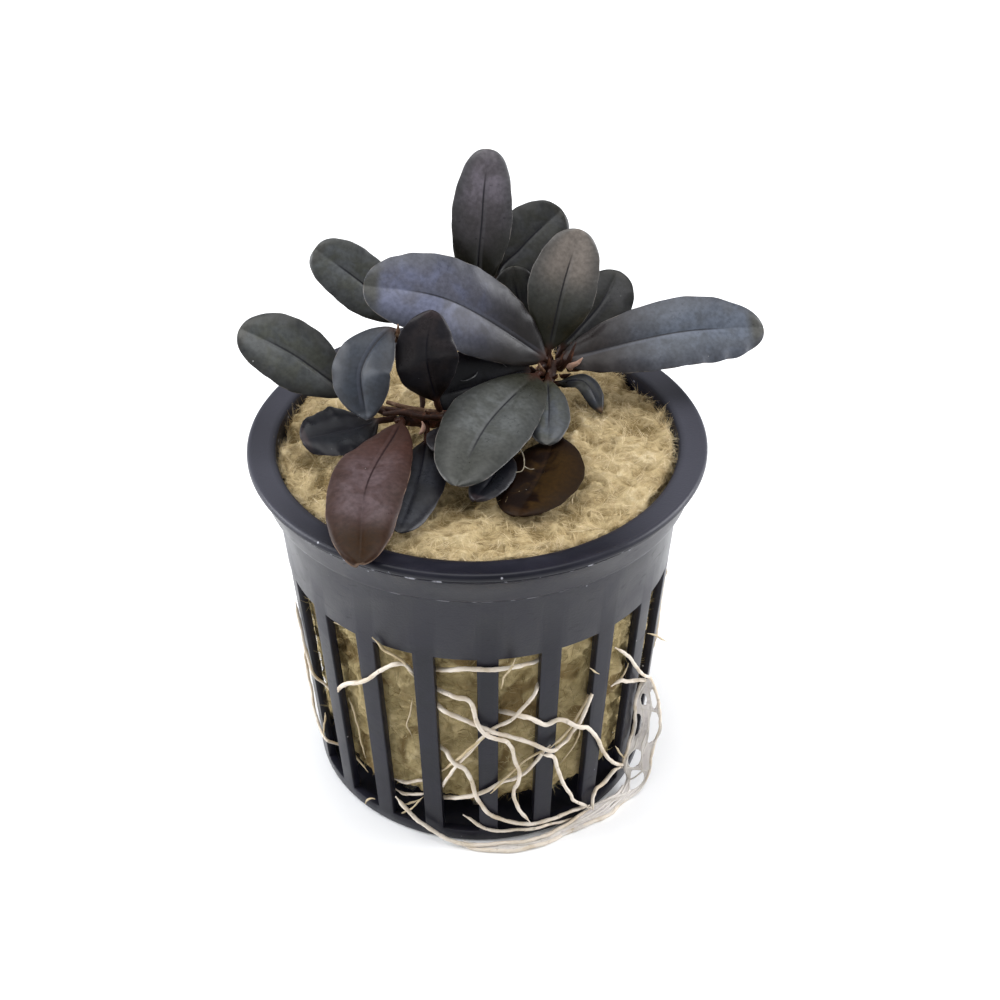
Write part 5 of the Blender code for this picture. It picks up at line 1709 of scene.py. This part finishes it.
def stretch_film():
    last = len(MAT_STATIONS) - 1
    clear_selection()
    bpy.ops.mesh.primitive_grid_add(x_subdivisions=MAT_ACROSS, y_subdivisions=last * MAT_PARTS, size=1.0)
    film = bpy.context.object
    film.name = "root_mat_film"
    bpy.ops.object.mode_set(mode="EDIT")
    pick_faces(film, lambda place: in_mat_hole((place.y + 0.5) * last, place.x + 0.5))
    bpy.ops.mesh.delete(type="FACE")
    bpy.ops.mesh.select_all(action="SELECT")
    bpy.ops.mesh.vertices_smooth(factor=0.5, repeat=2)
    bpy.ops.object.mode_set(mode="OBJECT")
    flat = points_of(film)
    station = np.clip(flat[:, 1] + 0.5, 0.0, 1.0) * last
    share = np.clip(flat[:, 0] + 0.5, 0.0, 1.0)
    store(film, "station", station)
    store(film, "share", share)
    move_points(film, mat_place(station, share) * MM)
    wall = film.modifiers.new("wall", "SOLIDIFY")
    wall.thickness = FILM_WALL * MM
    wall.offset = 0.0
    apply_modifiers(film)
    return film


def film_group():
    group, given, out = new_group("Root film", (
        ("Film", COLOUR, (0.6, 0.555, 0.53, 1.0)), ("Strand", COLOUR, (0.68, 0.64, 0.6, 1.0)),
        ("Wet", COLOUR, (0.24, 0.21, 0.21, 1.0))), SKIN_OUTPUTS)
    run_down = times(group, stored(group, "station"), 0.7)
    run_over = times(group, stored(group, "share"), 6.0)
    threads = cloudy(group, place_from(group, run_down, run_over), UNSCALED, 4.0)
    broad = cloudy(group, object_place(group), 1.6, 3.0)
    tone = blend_colours(group, fade(group, threads, 0.4, 0.62), given["Film"], given["Strand"])
    tone = blend_colours(group, fade(group, broad, 0.5, 0.7, 0.0, 0.5), tone, given["Wet"])
    plug(group, tone, out["Colour"])
    plug(group, fade(group, broad, 0.3, 0.7, 0.32, 0.5), out["Roughness"])
    plug(group, threads, out["Height"])
    return group


root_film = skin_material("root film", film_group(), {}, 0.06, shine=0.4)
hand_over(stretch_film(), "cream_root", root_film, sharp_degrees=60.0)

# %% [markdown]
# Strands run through the film from end to end and part round its holes. Each keeps to its own
# share of the width, wanders a little, and is pushed aside where a hole lies in its way.

# %% Run strands through the mat
MAT_STRANDS = (
    # first and last station, share across at both ends, radius
    (0.0, 9.0, 0.02, 0.1, 0.15), (0.8, 12.0, 0.3, 0.35, 0.1), (2.6, 14.0, 0.5, 0.5, 0.11),
    (0.3, 16.0, 0.62, 0.7, 0.1), (0.4, 19.0, 0.97, 0.9, 0.11), (2.2, 13.0, 0.97, 1.0, 0.12),
    (4.6, 11.0, 0.25, 0.05, 0.12), (6.5, 18.0, 0.95, 0.75, 0.13), (8.5, 19.0, 0.0, 0.1, 0.18),
    (9.0, 17.0, 0.35, 0.4, 0.15), (2.5, 2.75, 0.1, 0.98, 0.11), (6.9, 7.2, 0.05, 0.98, 0.1),
)


def part_round_holes(station, share):
    for hole_station, hole_share, long, wide in MAT_HOLES:
        along = (station - hole_station) / (1.1 * long)
        clear = 1.12 * wide * np.sqrt(np.clip(1.0 - along ** 2, 0.0, 1.0))
        side = np.sign(share - hole_share + 1e-6)
        pushed = hole_share + side * np.maximum(np.abs(share - hole_share), clear)
        share = np.where(np.abs(along) < 1.0, pushed, share)
    return evened(share)


def run_mat_strands():
    strands = []
    for seed, (first, last, start, end, radius) in enumerate(MAT_STRANDS):
        station = np.linspace(first, last, max(12, int((last - first) * 9)))
        share = start + (end - start) * np.linspace(0.0, 1.0, len(station))
        share = part_round_holes(station, share + 0.03 * np.sin(1.7 * station + seed))
        places = mat_place(station, share)
        places = kinked(places + outward(places) * 0.06, 0.06, seed + 60)
        places[:, 2] = np.maximum(places[:, 2], radius)
        strands.append(tube(f"mat_strand_{seed}", places, np.full(len(places), radius), sides=2))
    clear_selection()
    for strand in strands:
        strand.select_set(True)
    bpy.context.view_layer.objects.active = strands[0]
    bpy.ops.object.join()
    bundle = bpy.context.object
    bundle.name = "root_mat_strands"
    return bundle


mat_root = skin_material("mat root", ROOT_SKIN,
                         {"Cream": (0.66, 0.62, 0.57), "Tan": (0.5, 0.45, 0.39)}, 0.04, 0.35)
hand_over(run_mat_strands(), "cream_root", mat_root, sharp_degrees=80.0)

# %% [markdown]
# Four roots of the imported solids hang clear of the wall. Two run down into the mat and two lie
# at the foot. They are placed in space instead of on the wall, and so is one short thin tip.

# %% Hang the free roots
FREE_ROOTS = {
    "root_right_outer": (0.2,
                         ((15.9, -17.8, 28.8), (17.4, -17.2, 27.0), (18.6, -16.6, 25.0), (19.7, -15.4, 22.3),
                                (20.9, -13.4, 19.7), (21.8, -13.0, 17.4), (22.4, -12.8, 15.1),
                                (22.8, -12.5, 12.3),
                                (23.0, -12.1, 9.4), (22.4, -12.6, 7.7), (22.0, -12.9, 5.5),
                                (22.1, -12.7, 3.1),
                                (21.5, -13.5, 1.3))),
    "root_right_inner": (0.23,
                         ((15.7, -17.8, 22.5), (16.9, -16.9, 22.6), (18.0, -15.9, 21.6), (20.5, -12.9, 19.0),
                                (20.0, -12.2, 17.1), (19.5, -12.7, 15.4), (19.6, -12.2, 12.3),
                                (19.7, -11.8, 9.6),
                                (19.1, -12.6, 7.6), (18.7, -12.8, 5.7), (18.4, -13.0, 3.5))),
    "root_foot_right": (0.25,
                        ((20.3, -14.6, 0.5), (18.2, -15.9, 0.3), (16.3, -18.1, 0.27), (14.1, -19.4, 0.27),
                               (11.4, -20.6, 0.27), (8.8, -22.1, 0.27), (6.5, -23.2, 0.27),
                               (4.1, -23.8, 0.27),
                               (1.9, -23.7, 0.27), (-0.3, -23.5, 0.27), (-2.6, -22.9, 0.27))),
    "root_foot_front": (0.24, (round_the_pot(-28.0, 23.1, 6.8), round_the_pot(-21.0, 22.9, 3.6),
                               round_the_pot(-13.0, 22.9, 1.5), round_the_pot(-5.0, 23.2, 0.7),
                               (1.9, -23.1, 0.9), (6.3, -22.5, 0.9), (10.2, -20.6, 1.0), (13.9, -18.0, 1.4))),
    "rootlet_tip": (0.12, ((20.4, -12.4, 26.2), (22.0, -11.4, 24.7), (23.2, -10.4, 23.1))),
}


def hang_free_roots():
    for seed, (name, (radius, course)) in enumerate(FREE_ROOTS.items()):
        places = kinked(smooth_path(course, ROOT_STEP), 0.16, seed + 40)
        places[:, 2] = np.maximum(places[:, 2], radius)
        grow_root(name, places, radius, seed)


hang_free_roots()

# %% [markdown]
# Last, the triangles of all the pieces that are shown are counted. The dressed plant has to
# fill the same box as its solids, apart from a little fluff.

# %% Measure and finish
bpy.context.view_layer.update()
print("triangles in all:", sum(triangles(piece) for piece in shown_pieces() if piece.type == "MESH"))
